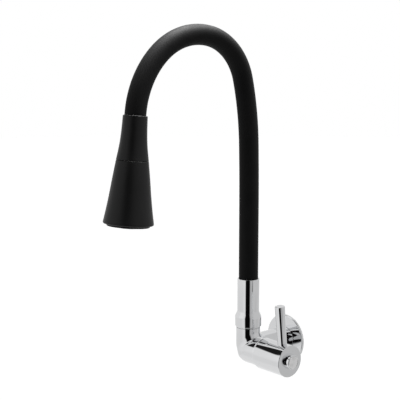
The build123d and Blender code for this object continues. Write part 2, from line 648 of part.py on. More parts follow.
def head_collar():
    """Upper shell of the spray head, gently flared, closed round the hose at the top."""
    top = (HEAD_TOP_RADIUS, 0.0)
    outline = [top, HEAD_THROAT, HEAD_WAIST, HEAD_SEAM]
    shell = shell_of(outline, 0, HEAD_SEAM[1])
    shell += ring(HEAD_TOP_RADIUS - SHELL_WALL / 2, SLEEVE_OUTER + PUSHED, 0, HEAD_THROAT[1])
    shell -= rod(SLEEVE_OUTER + PUSHED, 0, HEAD_THROAT[1])
    stop_low = CORE_FLANGE_LOW - CORE_STOP_HEIGHT
    shell += ring(HEAD_WAIST[0] - SHELL_WALL / 2, CORE_RADIUS + PUSHED, stop_low, CORE_FLANGE_LOW)
    rim = shell.edges().filter_by(GeomType.CIRCLE).group_by(Axis.Z)[0].sort_by(SortBy.RADIUS)[-1]
    return HEAD * fillet(rim, HEAD_EDGE)


def head_core():
    """Inner barrel fixed in the upper shell: socket, water chamber, floor with one port."""
    core = rod(CORE_RADIUS, CORE_TOP, CORE_END)
    flange_radius = HEAD_WAIST[0] - SHELL_WALL - LOOSE
    core += rod(flange_radius, CORE_FLANGE_LOW, CORE_FLANGE_LOW + CORE_FLANGE_HEIGHT)
    core -= rod(END_STUB_RADIUS + PUSHED, CORE_TOP, CORE_SOCKET_END)
    core -= rod(CORE_BORE, CORE_SOCKET_END, CORE_END - CORE_FLOOR)
    core -= rod(PIVOT_SCREW_RADIUS, CORE_END - CORE_FLOOR, CORE_END)
    core -= Pos(PORT_CIRCLE, 0, 0) * rod(PORT_HOLE_RADIUS, CORE_END - CORE_FLOOR, CORE_END)
    core -= Pos(PORT_CIRCLE, 0, 0) * rod(PORT_SEAL_RADIUS, CORE_END - PORT_SEAL_HEIGHT, CORE_END)
    return HEAD * core


def core_washer():
    """Flat washer between the hose end and the core."""
    low = CORE_SOCKET_END - CORE_WASHER_HEIGHT
    return HEAD * ring(END_STUB_RADIUS - LOOSE, SPIGOT_BORE, low, CORE_SOCKET_END)


def port_seal():
    """Rubber ring round the core's port, against the turning drum."""
    outer = PORT_SEAL_RADIUS - PUSHED
    seal = ring(outer, PORT_HOLE_RADIUS, CORE_END - PORT_SEAL_HEIGHT, CORE_END)
    return HEAD * Pos(PORT_CIRCLE, 0, 0) * seal


def selector_drum():
    """Turning part of the jet selector: two ports, and a tube down to the aerator."""
    drum = rod(DRUM_DISC_RADIUS, DRUM_TOP, DRUM_DISC_END)
    drum += ring(DRUM_TUBE_RADIUS, DRUM_TUBE_INNER, DRUM_DISC_END, MAT_BACK)
    drum -= Pos(PORT_CIRCLE, 0, 0) * rod(PORT_HOLE_RADIUS, DRUM_TOP, DRUM_DISC_END)
    turned_away = Rot(0, 0, 90)
    inlet_low = DRUM_DISC_END - PORT_HOLE_RADIUS
    drum -= turned_away * Pos(PORT_CIRCLE, 0, 0) * rod(PORT_HOLE_RADIUS, DRUM_TOP, inlet_low)
    side_way = Pos(0, 0, DRUM_DISC_END - DRUM_DISC / 2) * Rot(0, 90, 0)
    drum -= turned_away * side_way * rod(PORT_HOLE_RADIUS / 2, PORT_CIRCLE, DRUM_DISC_RADIUS)
    return HEAD * (drum - rod(PIVOT_SCREW_RADIUS + LOOSE, DRUM_TOP, DRUM_DISC_END))


def pivot_screw():
    """Screw in the core that the drum turns on."""
    head_low = DRUM_DISC_END + MOVING_GAP
    screw = rod(PIVOT_SCREW_RADIUS - PUSHED, CORE_END - CORE_FLOOR, head_low)
    screw += rod(PIVOT_HEAD_RADIUS, head_low, head_low + PIVOT_HEAD_HEIGHT)
    return HEAD * screw


def head_cone():
    """Lower shell of the head, turned by hand to change the jet."""
    low = HEAD_SEAM[1] + MOVING_GAP
    outline = [(HEAD_SEAM[0], low), CONE_UPPER, CONE_MIDDLE, CONE_LOWER, HEAD_RIM]
    shell = shell_of(outline, low, HEAD_RIM[1])
    rim = shell.edges().filter_by(GeomType.CIRCLE).group_by(Axis.Z)[-1].sort_by(SortBy.RADIUS)[-1]
    shell = fillet(rim, RIM_EDGE)
    shell += ring(HEAD_SEAM[0] - SHELL_WALL / 2, CORE_RADIUS + MOVING_GAP, low, low + SHELL_WALL)
    stop = CONE_UPPER[0] - SHELL_WALL / 2
    shell += ring(stop, DRUM_DISC_RADIUS - CONE_STOP_LEDGE, CORE_END - SHELL_WALL, CORE_END)
    return HEAD * shell


def nozzle_places(radius, count):
    """Places of one ring of nozzles, on the head's axis."""
    return PolarLocations(radius, count)


def spray_face():
    """Pierced front plate, standing a little proud of the head's rim."""
    plate = rod(FACE_BACK_RADIUS, FACE_BACK, HEAD_RIM[1] - LOOSE)
    plate += rod(FACE_RADIUS, HEAD_RIM[1] - LOOSE, FACE_FRONT)
    plate = fillet(plate.edges().filter_by(GeomType.CIRCLE).group_by(Axis.Z)[-1], FACE_EDGE)
    hole = rod(FACE_HOLE_RADIUS, FACE_BACK, FACE_FRONT)
    for radius, count in NOZZLE_RINGS:
        plate -= nozzle_places(radius, count) * hole
    return HEAD * (plate - rod(AERATOR_LIP + LOOSE, FACE_BACK, FACE_FRONT))


def nozzle_mat():
    """Soft mat behind the face, with a nozzle through each hole of the face."""
    tip = FACE_FRONT + NOZZLE_PROUD
    mat = ring(FACE_RADIUS, AERATOR_LIP + LOOSE, MAT_BACK, FACE_BACK)
    nozzle = turned((0, FACE_BACK), (NOZZLE_RADIUS, FACE_BACK), (NOZZLE_TIP_RADIUS, tip), (0, tip))
    for radius, count in NOZZLE_RINGS:
        mat += nozzle_places(radius, count) * nozzle
    return HEAD * mat


def aerator_body():
    """Aerator insert in the end of the drum's tube, its lip a little proud of the plate."""
    inner = AERATOR_RADIUS - AERATOR_WALL
    barrel = ring(AERATOR_RADIUS, inner, AERATOR_FRONT - AERATOR_LENGTH, AERATOR_FRONT)
    lip = ring(AERATOR_LIP, inner, MAT_BACK + LOOSE, AERATOR_FRONT)
    outlet = lip.edges().filter_by(GeomType.CIRCLE).group_by(Axis.Z)[-1]
    return HEAD * (barrel + fillet(outlet.sort_by(SortBy.RADIUS)[-1], AERATOR_EDGE))


def aerator_grid():
    """Grid of bars across the aerator's outlet."""
    radius = AERATOR_RADIUS - AERATOR_WALL - PUSHED
    high = AERATOR_FRONT - AERATOR_BAR_HEIGHT
    low = high - AERATOR_BAR_HEIGHT
    frame = ring(radius, radius - AERATOR_BAR, low, high)
    pitch = 2 * radius / (AERATOR_BARS + 1)
    bar = Box(AERATOR_BAR, 2 * radius, AERATOR_BAR_HEIGHT, align=UP)
    bars = [
        Pos((number - (AERATOR_BARS - 1) / 2) * pitch, 0, low) * bar
        for number in range(AERATOR_BARS)
    ]
    disc = rod(radius - AERATOR_BAR / 2, low, high)
    for strip in bars:
        frame += strip & disc
    return HEAD * frame


PIECES = {
    "wall_flange": wall_flange(),
    "flange_gasket": flange_gasket(),
    "valve_body": valve_body(),
    "inlet_filter": inlet_filter(),
    "seat_seal": seat_seal(),
    "fixed_disc": ceramic_disc(SEAL_TOP, 0),
    "moving_disc": ceramic_disc(DISC_JOINT, 90),
    "headwork_body": headwork_body(),
    "headwork_gasket": headwork_gasket(),
    "spindle": spindle(),
    "spindle_rings": spindle_rings(),
    "spindle_clip": spindle_clip(),
    "handle_sleeve": handle_sleeve(),
    "handle_lever": handle_lever(),
    "handle_screw": handle_screw(),
    "index_button": index_button(),
    "slip_washer": slip_washer(),
    "swivel_spigot": swivel_spigot(),
    "spigot_rings": spigot_rings(),
    "spigot_clip": spigot_clip(),
    "swivel_collar": swivel_collar(),
    "hose_ferrule": hose_ferrule(),
    "head_ferrule": head_ferrule(),
    "head_collar": head_collar(),
    "head_core": head_core(),
    "core_washer": core_washer(),
    "port_seal": port_seal(),
    "selector_drum": selector_drum(),
    "pivot_screw": pivot_screw(),
    "head_cone": head_cone(),
    "spray_face": spray_face(),
    "nozzle_mat": nozzle_mat(),
    "aerator_body": aerator_body(),
    "aerator_grid": aerator_grid(),
}
HOSE_LAYERS = {
    "hose_sleeve": hose_layer(SLEEVE_OUTER, SLEEVE_INNER, FERRULE_TOP + LOOSE),
    "hose_coil": hose_layer(COIL_OUTER, COIL_INNER, FERRULE_FLOOR + LOOSE),
    "water_tube": hose_layer(TUBE_OUTER, TUBE_INNER, SPIGOT_FLANGE_TOP + LOOSE),
}
for layer_name, layer_spans in HOSE_LAYERS.items():
    for span_number, span in enumerate(layer_spans, 1):
        PIECES[f"{layer_name}_{span_number}"] = span
for piece_name, piece in PIECES.items():
    export_step(piece, f"parts/{piece_name}.step")
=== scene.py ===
import json
from itertools import product
from math import atan2, ceil, cos, pi, radians, sin, tan, tau

import bmesh
import bpy
import numpy as np
from mathutils import Matrix, Vector


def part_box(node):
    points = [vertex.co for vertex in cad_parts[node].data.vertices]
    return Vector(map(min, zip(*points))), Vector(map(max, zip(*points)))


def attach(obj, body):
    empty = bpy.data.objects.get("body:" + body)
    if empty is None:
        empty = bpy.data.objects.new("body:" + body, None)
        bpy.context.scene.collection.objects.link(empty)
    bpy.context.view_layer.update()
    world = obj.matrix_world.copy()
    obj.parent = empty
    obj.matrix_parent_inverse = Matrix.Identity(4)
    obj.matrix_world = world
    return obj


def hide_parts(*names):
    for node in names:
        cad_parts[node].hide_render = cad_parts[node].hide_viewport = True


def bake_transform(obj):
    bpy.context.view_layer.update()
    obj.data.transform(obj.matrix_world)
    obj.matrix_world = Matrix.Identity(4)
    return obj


bl_info = {
    "name": "Wall Kitchen Tap",
    "version": (1, 0, 0),
    "blender": (4, 5, 0),
    "location": "3D View > Sidebar > Tap",
    "description": "Dresses the tap's frame with its chrome, its bending hose and its spray head",
    "category": "Add Mesh",
}

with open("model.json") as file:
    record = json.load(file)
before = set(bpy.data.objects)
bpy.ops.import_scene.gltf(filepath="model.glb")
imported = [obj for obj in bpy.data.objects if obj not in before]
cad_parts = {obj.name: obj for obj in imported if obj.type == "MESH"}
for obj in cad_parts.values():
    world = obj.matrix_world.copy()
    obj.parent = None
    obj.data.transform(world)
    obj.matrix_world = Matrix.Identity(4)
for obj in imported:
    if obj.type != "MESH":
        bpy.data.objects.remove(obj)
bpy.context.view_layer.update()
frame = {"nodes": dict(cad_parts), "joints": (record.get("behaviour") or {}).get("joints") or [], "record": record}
NODES = frame["nodes"]
JOINTS = {joint["name"]: joint for joint in frame["joints"]}
SLOTS = {row["node"]: row["material_slot"] for row in frame["record"]["subparts"]}
MM = 0.001
NEAR = 1e-7  # Metres within which two points count as one.


def joint_place(name):
    """Where a joint of the frame is, in metres."""
    return Vector(JOINTS[name]["pos_m"])


RISER_AXIS = joint_place("spout_swivel")
VALVE_AXIS = joint_place("handle_turn")
HEAD_TOP = joint_place("jet_selector")
HEAD_AXIS = Vector(JOINTS["jet_selector"]["axis"]).normalized()
RISER = Matrix.Translation((RISER_AXIS.x, RISER_AXIS.y, 0))
VALVE = Matrix.Translation((0, VALVE_AXIS.y, VALVE_AXIS.z)) @ Matrix.Rotation(pi / 2, 4, "Y")
INLET = Matrix.Rotation(pi / 2, 4, "X")
HEAD = Matrix.Translation(HEAD_TOP) @ Matrix.Rotation(atan2(-HEAD_AXIS.y, HEAD_AXIS.z), 4, "X")
BENDS = [joint_place(f"hose_bend_{number}") for number in range(1, 6)]
HOSE_BODIES = ("riser", "hose_2", "hose_3", "hose_4", "hose_5", "head")


def length(name, default_mm, description):
    """A size that a user can change, given in millimetres and kept in metres."""
    return bpy.props.FloatProperty(
        name=name, description=description, default=default_mm * MM, subtype="DISTANCE", unit="LENGTH"
    )


def lengths(name, description, *defaults_mm):
    """A row of sizes that a user can change, given in millimetres and kept in metres."""
    defaults = [default * MM for default in defaults_mm]
    return bpy.props.FloatVectorProperty(
        name=name, description=description, default=defaults, size=len(defaults), unit="LENGTH"
    )


def degrees(name, default, description):
    """An angle that a user can change, given in degrees and kept in radians."""
    return bpy.props.FloatProperty(
        name=name, description=description, default=radians(default), subtype="ANGLE"
    )


def colour(name, default, description):
    """A surface colour that a user can change."""
    return bpy.props.FloatVectorProperty(
        name=name, description=description, default=default, subtype="COLOR", min=0, max=1
    )


class TapBodySizes(bpy.types.PropertyGroup):
    """Sizes of the cast body, its flange and its threaded tail."""

    flange_edge: length("Flange edge", 1.1, "Rounding of the flange's outer edge")
    flange_rim: length("Flange rim", 2.4, "Width of the flange's rim against the wall")
    flange_gap: length("Flange gap", 0.2, "Gap between the neck and the flange")
    flange_sheet: length("Flange sheet", 1.4, "Thickness of the flange's face")
    neck_radius: length("Neck", 13.6, "Radius of the neck that comes out of the wall")
    neck_reach: length("Neck reach", 48, "From the wall to the centre of the neck's round end")
    leg_radius: length("Leg", 13.1, "Radius of the upright leg")
    barrel_radius: length("Barrel", 15.2, "Radius of the barrel under the handle")
    bend_radius: length("Bend", 6, "Radius of the elbow's centre line")
    growth_length: length("Growth", 16, "Length over which the leg's radius grows to the barrel's")
    crease_fillet: length("Crease", 3, "Softness of the crease between leg and barrel")
    neck_fillet: length("Neck fillet", 9, "Softness of the joint between neck and elbow")
    step_place: length("Step place", 22.4, "From the riser's axis to the step in front of the handle")
    step_length: length("Step length", 1.6, "Length of the step's slope")
    step_depth: length("Step depth", 0.5, "Depth of the step under the handle's skirt")
    port_radius: length("Port", 10.3, "Radius of the valve chamber")
    port_floor: length("Port floor", 2, "From the riser's axis to the floor of the valve chamber")
    socket_radius: length("Socket", 8.55, "Radius of the riser's socket")
    socket_floor: length("Socket floor", 15, "From the handle's axis up to the floor of the riser's socket")
    bore_radius: length("Inlet bore", 6.5, "Radius of the inlet waterway")
    bore_depth: length("Bore depth", 43, "From the wall to the end of the inlet waterway")
    tail_radius: length("Tail radius", 10.48, "Radius over the crests of the inlet thread")
    tail_foot: length("Tail foot", 0.6, "From the wall to the start of the inlet thread")
    tail_lead: length("Tail lead", 1, "Chamfer at the end of the tail")
    thread_pitch: length("Thread pitch", 1.814, "Pitch of the inlet thread")
    thread_depth: length("Thread depth", 0.9, "Depth of the inlet thread")
    mesh_step: length("Mesh step", 0.55, "Size of the casting's mesh cells")
    mesh_margin: length("Mesh margin", 3, "Room round the casting in which its mesh is sought")


class TapHandleSizes(bpy.types.PropertyGroup):
    """Sizes of the handle, its lever and its button."""

    bore_radius: length("Sleeve bore", 15.4, "Inside of the handle's skirt")
    skirt_start: length("Skirt start", 25, "From the riser's axis to the handle's skirt")
    skirt_edge: length("Skirt edge", 1.1, "Rounding of the skirt's edge")
    bore_floor: length("Sleeve floor", 46.5, "From the riser's axis to the floor of the handle's bore")
    end_chamfer: length("End chamfer", 0.3, "Chamfer of the handle's outer end")
    lever_base: length("Lever base", 4.85, "Radius of the lever where it meets the handle")
    lever_tip: length("Lever tip", 5.4, "Radius of the lever at its tip")
    lever_edge: length("Lever edge", 0.9, "Rounding of the lever's tip")
    lever_seat: length("Lever seat", 15.6, "From the handle's axis to the lever's foot")
    lever_lean: degrees("Lean", 6, "Lean of the lever from upright")
    lever_place: length("Lever place", 54, "From the riser's axis to the lever's axis")
    lever_reach: length("Lever reach", 58.8, "From the handle's axis to the lever's tip")
    button_foot: length("Button foot", 8.65, "Radius of the button where it meets the handle")
    button_face: length("Button face", 7.7, "Radius of the button's face")
    button_edge: length("Button edge", 0.6, "Rounding of the button's face")
    button_plug: length("Button plug", 6.55, "Radius of the button's plug in the handle")
    groove_inset: length("Groove inset", 0.9, "From the edge of the button's face to its groove")
    groove_width: length("Groove width", 0.5, "Width of the groove in the button's face")
    groove_depth: length("Groove depth", 0.3, "Depth of the groove in the button's face")
    recess_radius: length("Recess", 6.6, "Radius of the recess behind the button")
    recess_depth: length("Recess depth", 4.7, "Depth of the recess behind the button")
    screw_radius: length("Screw radius", 2.2, "Radius of the hole for the handle's screw")


class TapSpoutSizes(bpy.types.PropertyGroup):
    """Sizes of the riser collar and of the hose."""

    bulge_radius: length("Collar foot", 14.4, "Radius of the collar's wide foot")
    bulge_top: length("Foot top", 35.5, "Height where the collar's foot ends")
    shoulder_top: length("Shoulder top", 43.1, "Height where the collar's shoulder ends")
    collar_radius: length("Collar tube", 12, "Radius of the collar's tube")
    collar_edge: length("Collar edge", 0.5, "Rounding of the collar's ends")
    foot_bore: length("Foot bore", 10.25, "Inside radius of the collar's foot")
    foot_depth: length("Foot depth", 12, "Depth of the bore in the collar's foot")
    slip_width: length("Slip width", 3, "Width of the slip ring")
    slip_edge: length("Slip edge", 0.12, "Rounding of the slip ring")
    hose_outer: length("Hose", 10.5, "Outside radius of the hose")
    hose_inner: length("Hose bore", 8.5, "Inside radius of the hose's skin")
    hose_play: length("Hose play", 0.05, "Gap between the hose and what holds it")
    hose_seat: length("Hose seat", 18, "Depth of the hose's seat in the collar")
    hose_foot: length("Hose foot", 60.2, "Height where the skin starts inside the collar")
    hose_in_head: length("Hose in head", 12.5, "Depth of the hose's end in the head")
    hose_step: length("Hose step", 1.6, "Spacing of the rings along the hose")


class TapHeadSizes(bpy.types.PropertyGroup):
    """Sizes of the spray head, along its own axis from its top rim."""

    upper_radii: lengths("Upper radii", "Radii of the upper shell, rim to seam", 11.95, 12.5, 13.8, 15.9)
    upper_places: lengths("Upper places", "Distances of these radii from the top", 0, 15, 30, 43.2)
    lower_radii: lengths("Lower radii", "Radii of the cone, seam to rim", 15.9, 18.2, 20.3, 22.55, 25)
    lower_places: lengths("Lower places", "Distances of these radii from the top", 43.5, 60, 76, 91, 105)
    top_edge: length("Top edge", 1, "Rounding of the upper shell's top")
    seam_edge: length("Seam edge", 0.35, "Rounding of both shells at the seam")
    rim_edge: length("Rim edge", 1.5, "Rounding of the cone's rim")
    wall: length("Wall", 2, "Thickness of the shells")
    face_front: length("Face front", 107, "Distance of the front plate's face from the top")
    nozzle_height: length("Nozzle height", 0.4, "How far a nozzle stands out of the plate")
    nozzle_radius: length("Nozzle", 1.15, "Radius of a nozzle at its foot")
    inner_ring: length("Inner ring", 12.4, "Radius of the inner ring of nozzles")
    outer_ring: length("Outer ring", 16.2, "Radius of the outer ring of nozzles")
    inner_count: bpy.props.IntProperty(
        name="Inner nozzles", description="Nozzles in the inner ring", default=12
    )
    outer_count: bpy.props.IntProperty(
        name="Outer nozzles", description="Nozzles in the outer ring", default=18
    )
    mouth_depth: length("Mouth depth", 0.8, "Depth of a nozzle's mouth")
    mat_depth: length("Mat depth", 5, "From the front plate's face to the mat")
    mat_sheet: length("Mat sheet", 1.5, "Thickness of the mat")
    mat_inner: length("Mat inner", 9.6, "Inside radius of the mat")
    mat_outer: length("Mat outer", 20.6, "Outside radius of the mat")


class TapFinishes(bpy.types.PropertyGroup):
    """Colours and gloss of the tap's materials."""

    chrome: colour("Chrome", (0.83, 0.835, 0.845), "Colour of the chrome")
    chrome_gloss: bpy.props.FloatProperty(
        name="Chrome roughness", description="Roughness of clean chrome",
        default=0.035, min=0, max=1, subtype="FACTOR",
    )
    silicone: colour("Silicone", (0.0034, 0.0034, 0.0035), "Colour of the hose")
    plastic: colour("Head plastic", (0.0022, 0.0022, 0.0023), "Colour of the spray head")
    brass: colour("Brass", (0.74, 0.52, 0.22), "Colour of the brass parts")
    steel: colour("Steel", (0.58, 0.58, 0.59), "Colour of the steel parts")


class TapStage(bpy.types.PropertyGroup):
    """Camera, floor and light."""

    camera_place: lengths("Camera", "Where the camera stands", 719.49, -746.97, 303.88)
    camera_yaw: degrees("Yaw", 49.37, "Turn of the camera about the vertical")
    camera_pitch: degrees("Pitch", 8.02, "How far the camera looks down")
    camera_lens: bpy.props.FloatProperty(
        name="Lens", description="Focal length in millimetres", default=84.08, unit="CAMERA"
    )
    floor_drop: length("Floor", 200, "How far the floor lies under the valve's axis")
    floor_radius: length("Floor radius", 6000, "Radius of the floor")
    softbox_size: length("Softbox", 1900, "Diameter of the softbox over the arch")
    softbox_distance: length("Softbox distance", 2000, "From the arch to the softbox")
    softbox_height: degrees("Softbox height", 70, "Elevation of the softbox")
    softbox_turn: degrees("Softbox turn", 35, "Turn of the softbox to the right")
    softbox_power: bpy.props.FloatProperty(
        name="Softbox power", description="Power in watts", default=265, unit="POWER"
    )


GROUPS = {
    "tap_body": TapBodySizes,
    "tap_handle": TapHandleSizes,
    "tap_spout": TapSpoutSizes,
    "tap_head": TapHeadSizes,
    "tap_finish": TapFinishes,
    "tap_stage": TapStage,
}


class Value:
    """A node's output that can stand in arithmetic."""

    def __init__(self, graph, socket):
        self.graph = graph
        self.socket = socket

    def maths(self, operation, *others):
        settings = {"operation": operation}
        return self.graph.node("ShaderNodeMath", settings, dict(enumerate((self, *others))))

    def __add__(self, other):
        return self.maths("ADD", other)

    __radd__ = __add__

    def __sub__(self, other):
        return self.maths("SUBTRACT", other)

    def __rsub__(self, other):
        return self.graph.node("ShaderNodeMath", {"operation": "SUBTRACT"}, {0: other, 1: self})

    def __mul__(self, other):
        return self.maths("MULTIPLY", other)

    __rmul__ = __mul__

    def ramp(self, low, high):
        """0 below low, 1 above high, and a smooth step between them."""
        settings = {"interpolation_type": "SMOOTHSTEP"}
        sockets = {"Value": self, "From Min": low, "From Max": high}
        return self.graph.node("ShaderNodeMapRange", settings, sockets)


class Graph:
    """A node tree that is built by calls."""

    def __init__(self, tree):
        self.tree = tree

    def node(self, kind, settings=None, sockets=None, output=0):
        """Adds a node: its settings first, then the values or links of its sockets."""
        made = self.tree.nodes.new(kind)
        for name, value in (settings or {}).items():
            setattr(made, name, value)
        for name, value in (sockets or {}).items():
            self.fill(made.inputs[name], value)
        return Value(self, made.outputs[output]) if made.outputs else made

    def fill(self, socket, value):
        """Links a value to a socket, or sets the socket's own value."""
        if isinstance(value, Value):
            value = value.socket
        if isinstance(value, bpy.types.NodeSocket):
            self.tree.links.new(value, socket)
        else:
            socket.default_value = value

    def coordinates(self):
        """Object coordinates of the piece."""
        return self.node("ShaderNodeTexCoord", output="Object")

    def noise(self, scale, detail, stretch=None):
        """Soft noise over the piece, with scale in features a metre."""
        place = self.coordinates()
        if stretch:
            place = self.node("ShaderNodeMapping", {}, {"Vector": place, "Scale": stretch})
        return self.node("ShaderNodeTexNoise", {}, {"Vector": place, "Scale": scale, "Detail": detail})

    def cells(self, feature, scale):
        """Distance from scattered points on the piece, with scale in points a metre."""
        sockets = {"Vector": self.coordinates(), "Scale": scale}
        return self.node("ShaderNodeTexVoronoi", {"feature": feature}, sockets)

    def mix(self, factor, first, second):
        """Mixes two colours, each a triple or a node's output."""
        pair = [part if isinstance(part, Value) else (*part, 1) for part in (first, second)]
        sockets = {"Factor": factor, 6: pair[0], 7: pair[1]}
        return self.node("ShaderNodeMix", {"data_type": "RGBA"}, sockets, output=2)


class Finish(Graph):
    """A material whose Principled shader has some constants, and is fed by its graph."""

    def __init__(self, name, constants):
        self.material = bpy.data.materials.new(name)
        self.material.use_nodes = True
        super().__init__(self.material.node_tree)
        self.shader = self.tree.nodes["Principled BSDF"]
        for socket, value in constants.items():
            self.shader.inputs[socket].default_value = value

    def dress(self, tint, roughness, height=None, depth=None):
        """Feeds the shader, with bump of a depth in metres from a height between 0 and 1."""
        self.fill(self.shader.inputs["Base Color"], tint)
        self.fill(self.shader.inputs["Roughness"], roughness)
        if depth:
            bump = self.node("ShaderNodeBump", {}, {"Height": height, "Distance": depth})
            self.fill(self.shader.inputs["Normal"], bump)
        return self.material


def shaded(base, share_of):
    """A colour brightened or darkened by a share."""
    return tuple(min(1.0, part * share_of) for part in base)


def chrome_material(name, waviness):
    """Polished chrome plate: mirror bright, with faint waves, polish haze and dried drops."""
    chrome = bpy.context.scene.tap_finish.chrome
    gloss = bpy.context.scene.tap_finish.chrome_gloss
    finish = Finish(name, {"Metallic": 1.0})
    haze = finish.noise(45, 3).ramp(0.42, 0.78)
    drops = finish.cells("F1", 160)
    ring = drops.ramp(0.16, 0.2) * (1 - drops.ramp(0.2, 0.26)) * finish.noise(60, 1).ramp(0.6, 0.7)
    hairlines = finish.noise(900, 2, stretch=(1, 1, 0.04)).ramp(0.45, 0.8)
    tint = finish.mix(haze, chrome, shaded(chrome, 0.965))
    roughness = haze * 0.03 + ring * 0.06 + hairlines * 0.012 + gloss
    return finish.dress(tint, roughness, finish.noise(70, 1) + hairlines * 0.01, waviness)


def silicone_material(name, base):
    """Matte black silicone skin: fine grain, a little dust and soft sheen at its edges."""
    sheen = {"Sheen Weight": 0.01, "Sheen Roughness": 0.45}
    finish = Finish(name, {"Metallic": 0.0, "Specular IOR Level": 0.09, **sheen})
    mottle = finish.noise(55, 4).ramp(0.35, 0.7)
    dust = finish.noise(1400, 1).ramp(0.7, 0.8) * finish.noise(40, 2).ramp(0.45, 0.7)
    tint = finish.mix(mottle, base, shaded(base, 1.35))
    tint = finish.mix(dust * 0.25, tint, (0.09, 0.09, 0.09))
    grain = finish.noise(2600, 3) + finish.noise(700, 2) * 0.6
    return finish.dress(tint, mottle * 0.07 + dust * 0.2 + 0.62, grain, 0.00002)


def plastic_material(name, base, roughness, depth, shine=0.5):
    """Moulded plastic with a spark-eroded grain."""
    finish = Finish(name, {"Metallic": 0.0, "Specular IOR Level": shine})
    mottle = finish.noise(40, 3).ramp(0.3, 0.75)
    grain = finish.cells("SMOOTH_F1", 2200)
    tint = finish.mix(mottle, base, shaded(base, 1.25))
    roughness = mottle * 0.06 + grain * 0.05 + roughness
    return finish.dress(tint, roughness, grain + finish.noise(3500, 2), depth)


def metal_material(name, base, roughness, stretch):
    """Machined metal with fine tool lines."""
    finish = Finish(name, {"Metallic": 1.0})
    lines = finish.noise(1500, 3, stretch=stretch)
    patina = finish.noise(120, 3).ramp(0.4, 0.75)
    tint = finish.mix(patina, base, shaded(base, 0.82))
    return finish.dress(tint, lines * 0.12 + patina * 0.08 + roughness, lines, 0.00002)


def rubber_material(name, base):
    """Seal rubber with a faint bloom."""
    finish = Finish(name, {"Metallic": 0.0, "Sheen Weight": 0.05})
    bloom = finish.noise(180, 4).ramp(0.45, 0.8)
    tint = finish.mix(bloom, base, shaded(base, 1.9))
    return finish.dress(tint, bloom * 0.15 + 0.45, finish.noise(1800, 2), 0.00003)


def ceramic_material(name):
    """Lapped alumina disc: off-white, glossy, with the faintest speckle."""
    finish = Finish(name, {"Metallic": 0.0, "IOR": 1.76, "Coat Weight": 0.2})
    speckle = finish.noise(2600, 2).ramp(0.62, 0.75)
    return finish.dress(finish.mix(speckle, (0.86, 0.85, 0.82), (0.74, 0.73, 0.7)), speckle * 0.1 + 0.16)


MATERIALS = {}


def make_materials():
    """Makes the tap's materials by the record's slot names, once."""
    if MATERIALS:
        return
    finish = bpy.context.scene.tap_finish
    MATERIALS.update({
        "chrome": chrome_material("polished_chrome", 0.000004),
        "chrome_cast": chrome_material("polished_chrome_on_casting", 0.00003),
        "satin_chrome": metal_material("satin_chrome", (0.98, 0.98, 0.98), 0.5, (1, 1, 1)),
        "black_silicone": silicone_material("black_silicone_skin", finish.silicone),
        "black_plastic": plastic_material("soft_black_plastic", finish.plastic, 0.38, 0.00002, 0.23),
        "nozzle_rubber": rubber_material("nozzle_rubber", (0.09, 0.09, 0.095)),
        "brass": metal_material("turned_brass", finish.brass, 0.2, (1, 1, 0.1)),
        "steel": metal_material("drawn_steel", finish.steel, 0.24, (0.1, 0.1, 1)),
        "seal_rubber": rubber_material("seal_rubber", (0.03, 0.03, 0.03)),
        "ceramic": ceramic_material("lapped_ceramic"),
        "white_plastic": plastic_material("white_acetal", (0.78, 0.78, 0.76), 0.34, 0.00001),
        "grey_plastic": plastic_material("grey_moulding", (0.3, 0.3, 0.31), 0.4, 0.00002),
    })


def matt_black():
    """Collection of the matt black pieces, which the softbox lights."""
    return bpy.data.collections.get("matt_black") or bpy.data.collections.new("matt_black")


def new_object(name, data):
    """A new object in the scene."""
    made = bpy.data.objects.new(name, data)
    bpy.context.scene.collection.objects.link(made)
    return made


def make_object(name, mesh, material, body, *nodes, slot=None):
    """Turns a mesh into a finished piece that rides on a body and stands for CAD nodes."""
    mesh.materials.append(MATERIALS[material])
    made = new_object(name, mesh)
    if material.startswith("black"):
        matt_black().objects.link(made)
    mesh.shade_smooth()
    mesh.set_sharp_from_angle(angle=radians(30))
    if body:
        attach(made, body)
    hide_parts(*nodes)
    return made


def rounded(*corners, steps=6):
    """Outline through (radius, height, rounding) corners, with an arc at each rounded one."""
    points = []
    for number, (radius, height, rounding) in enumerate(corners):
        here = Vector((radius, height))
        if not rounding:
            points.append(here)
            continue
        before = (Vector(corners[number - 1][:2]) - here).normalized()
        after = (Vector(corners[(number + 1) % len(corners)][:2]) - here).normalized()
        half = before.angle(after) / 2
        reach = rounding / tan(half)
        centre = here + (before + after).normalized() * (rounding / sin(half))
        start = here + before * reach - centre
        turn = start.angle_signed(here + after * reach - centre)
        points += [centre + Matrix.Rotation(-turn * step / steps, 2) @ start for step in range(steps + 1)]
    return points


def smooth_through(points, steps):
    """Natural cubic spline through (radius, height) points, with even steps between them."""
    radii, heights = np.array(list(points), float).T
    gaps = np.diff(heights)
    slopes = np.diff(radii) / gaps
    system = np.diag(2 * np.r_[1, gaps[:-1] + gaps[1:], 1])
    system += np.diag(np.r_[1, gaps[:-1]], 1) + np.diag(np.r_[gaps[1:], 1], -1)
    wanted = 3 * np.r_[slopes[0], gaps[1:] * slopes[:-1] + gaps[:-1] * slopes[1:], slopes[-1]]
    tangents = np.linalg.solve(system, wanted)
    curve = []
    for row, gap in enumerate(gaps):
        for step in np.linspace(0, 1, steps, endpoint=row == len(gaps) - 1):
            ease = (1 - step) ** 2
            radius = (1 + 2 * step) * ease * radii[row] + step**2 * (3 - 2 * step) * radii[row + 1]
            radius += gap * (step * ease * tangents[row] + step**2 * (step - 1) * tangents[row + 1])
            curve.append(Vector((radius, heights[row] + step * gap)))
    return curve


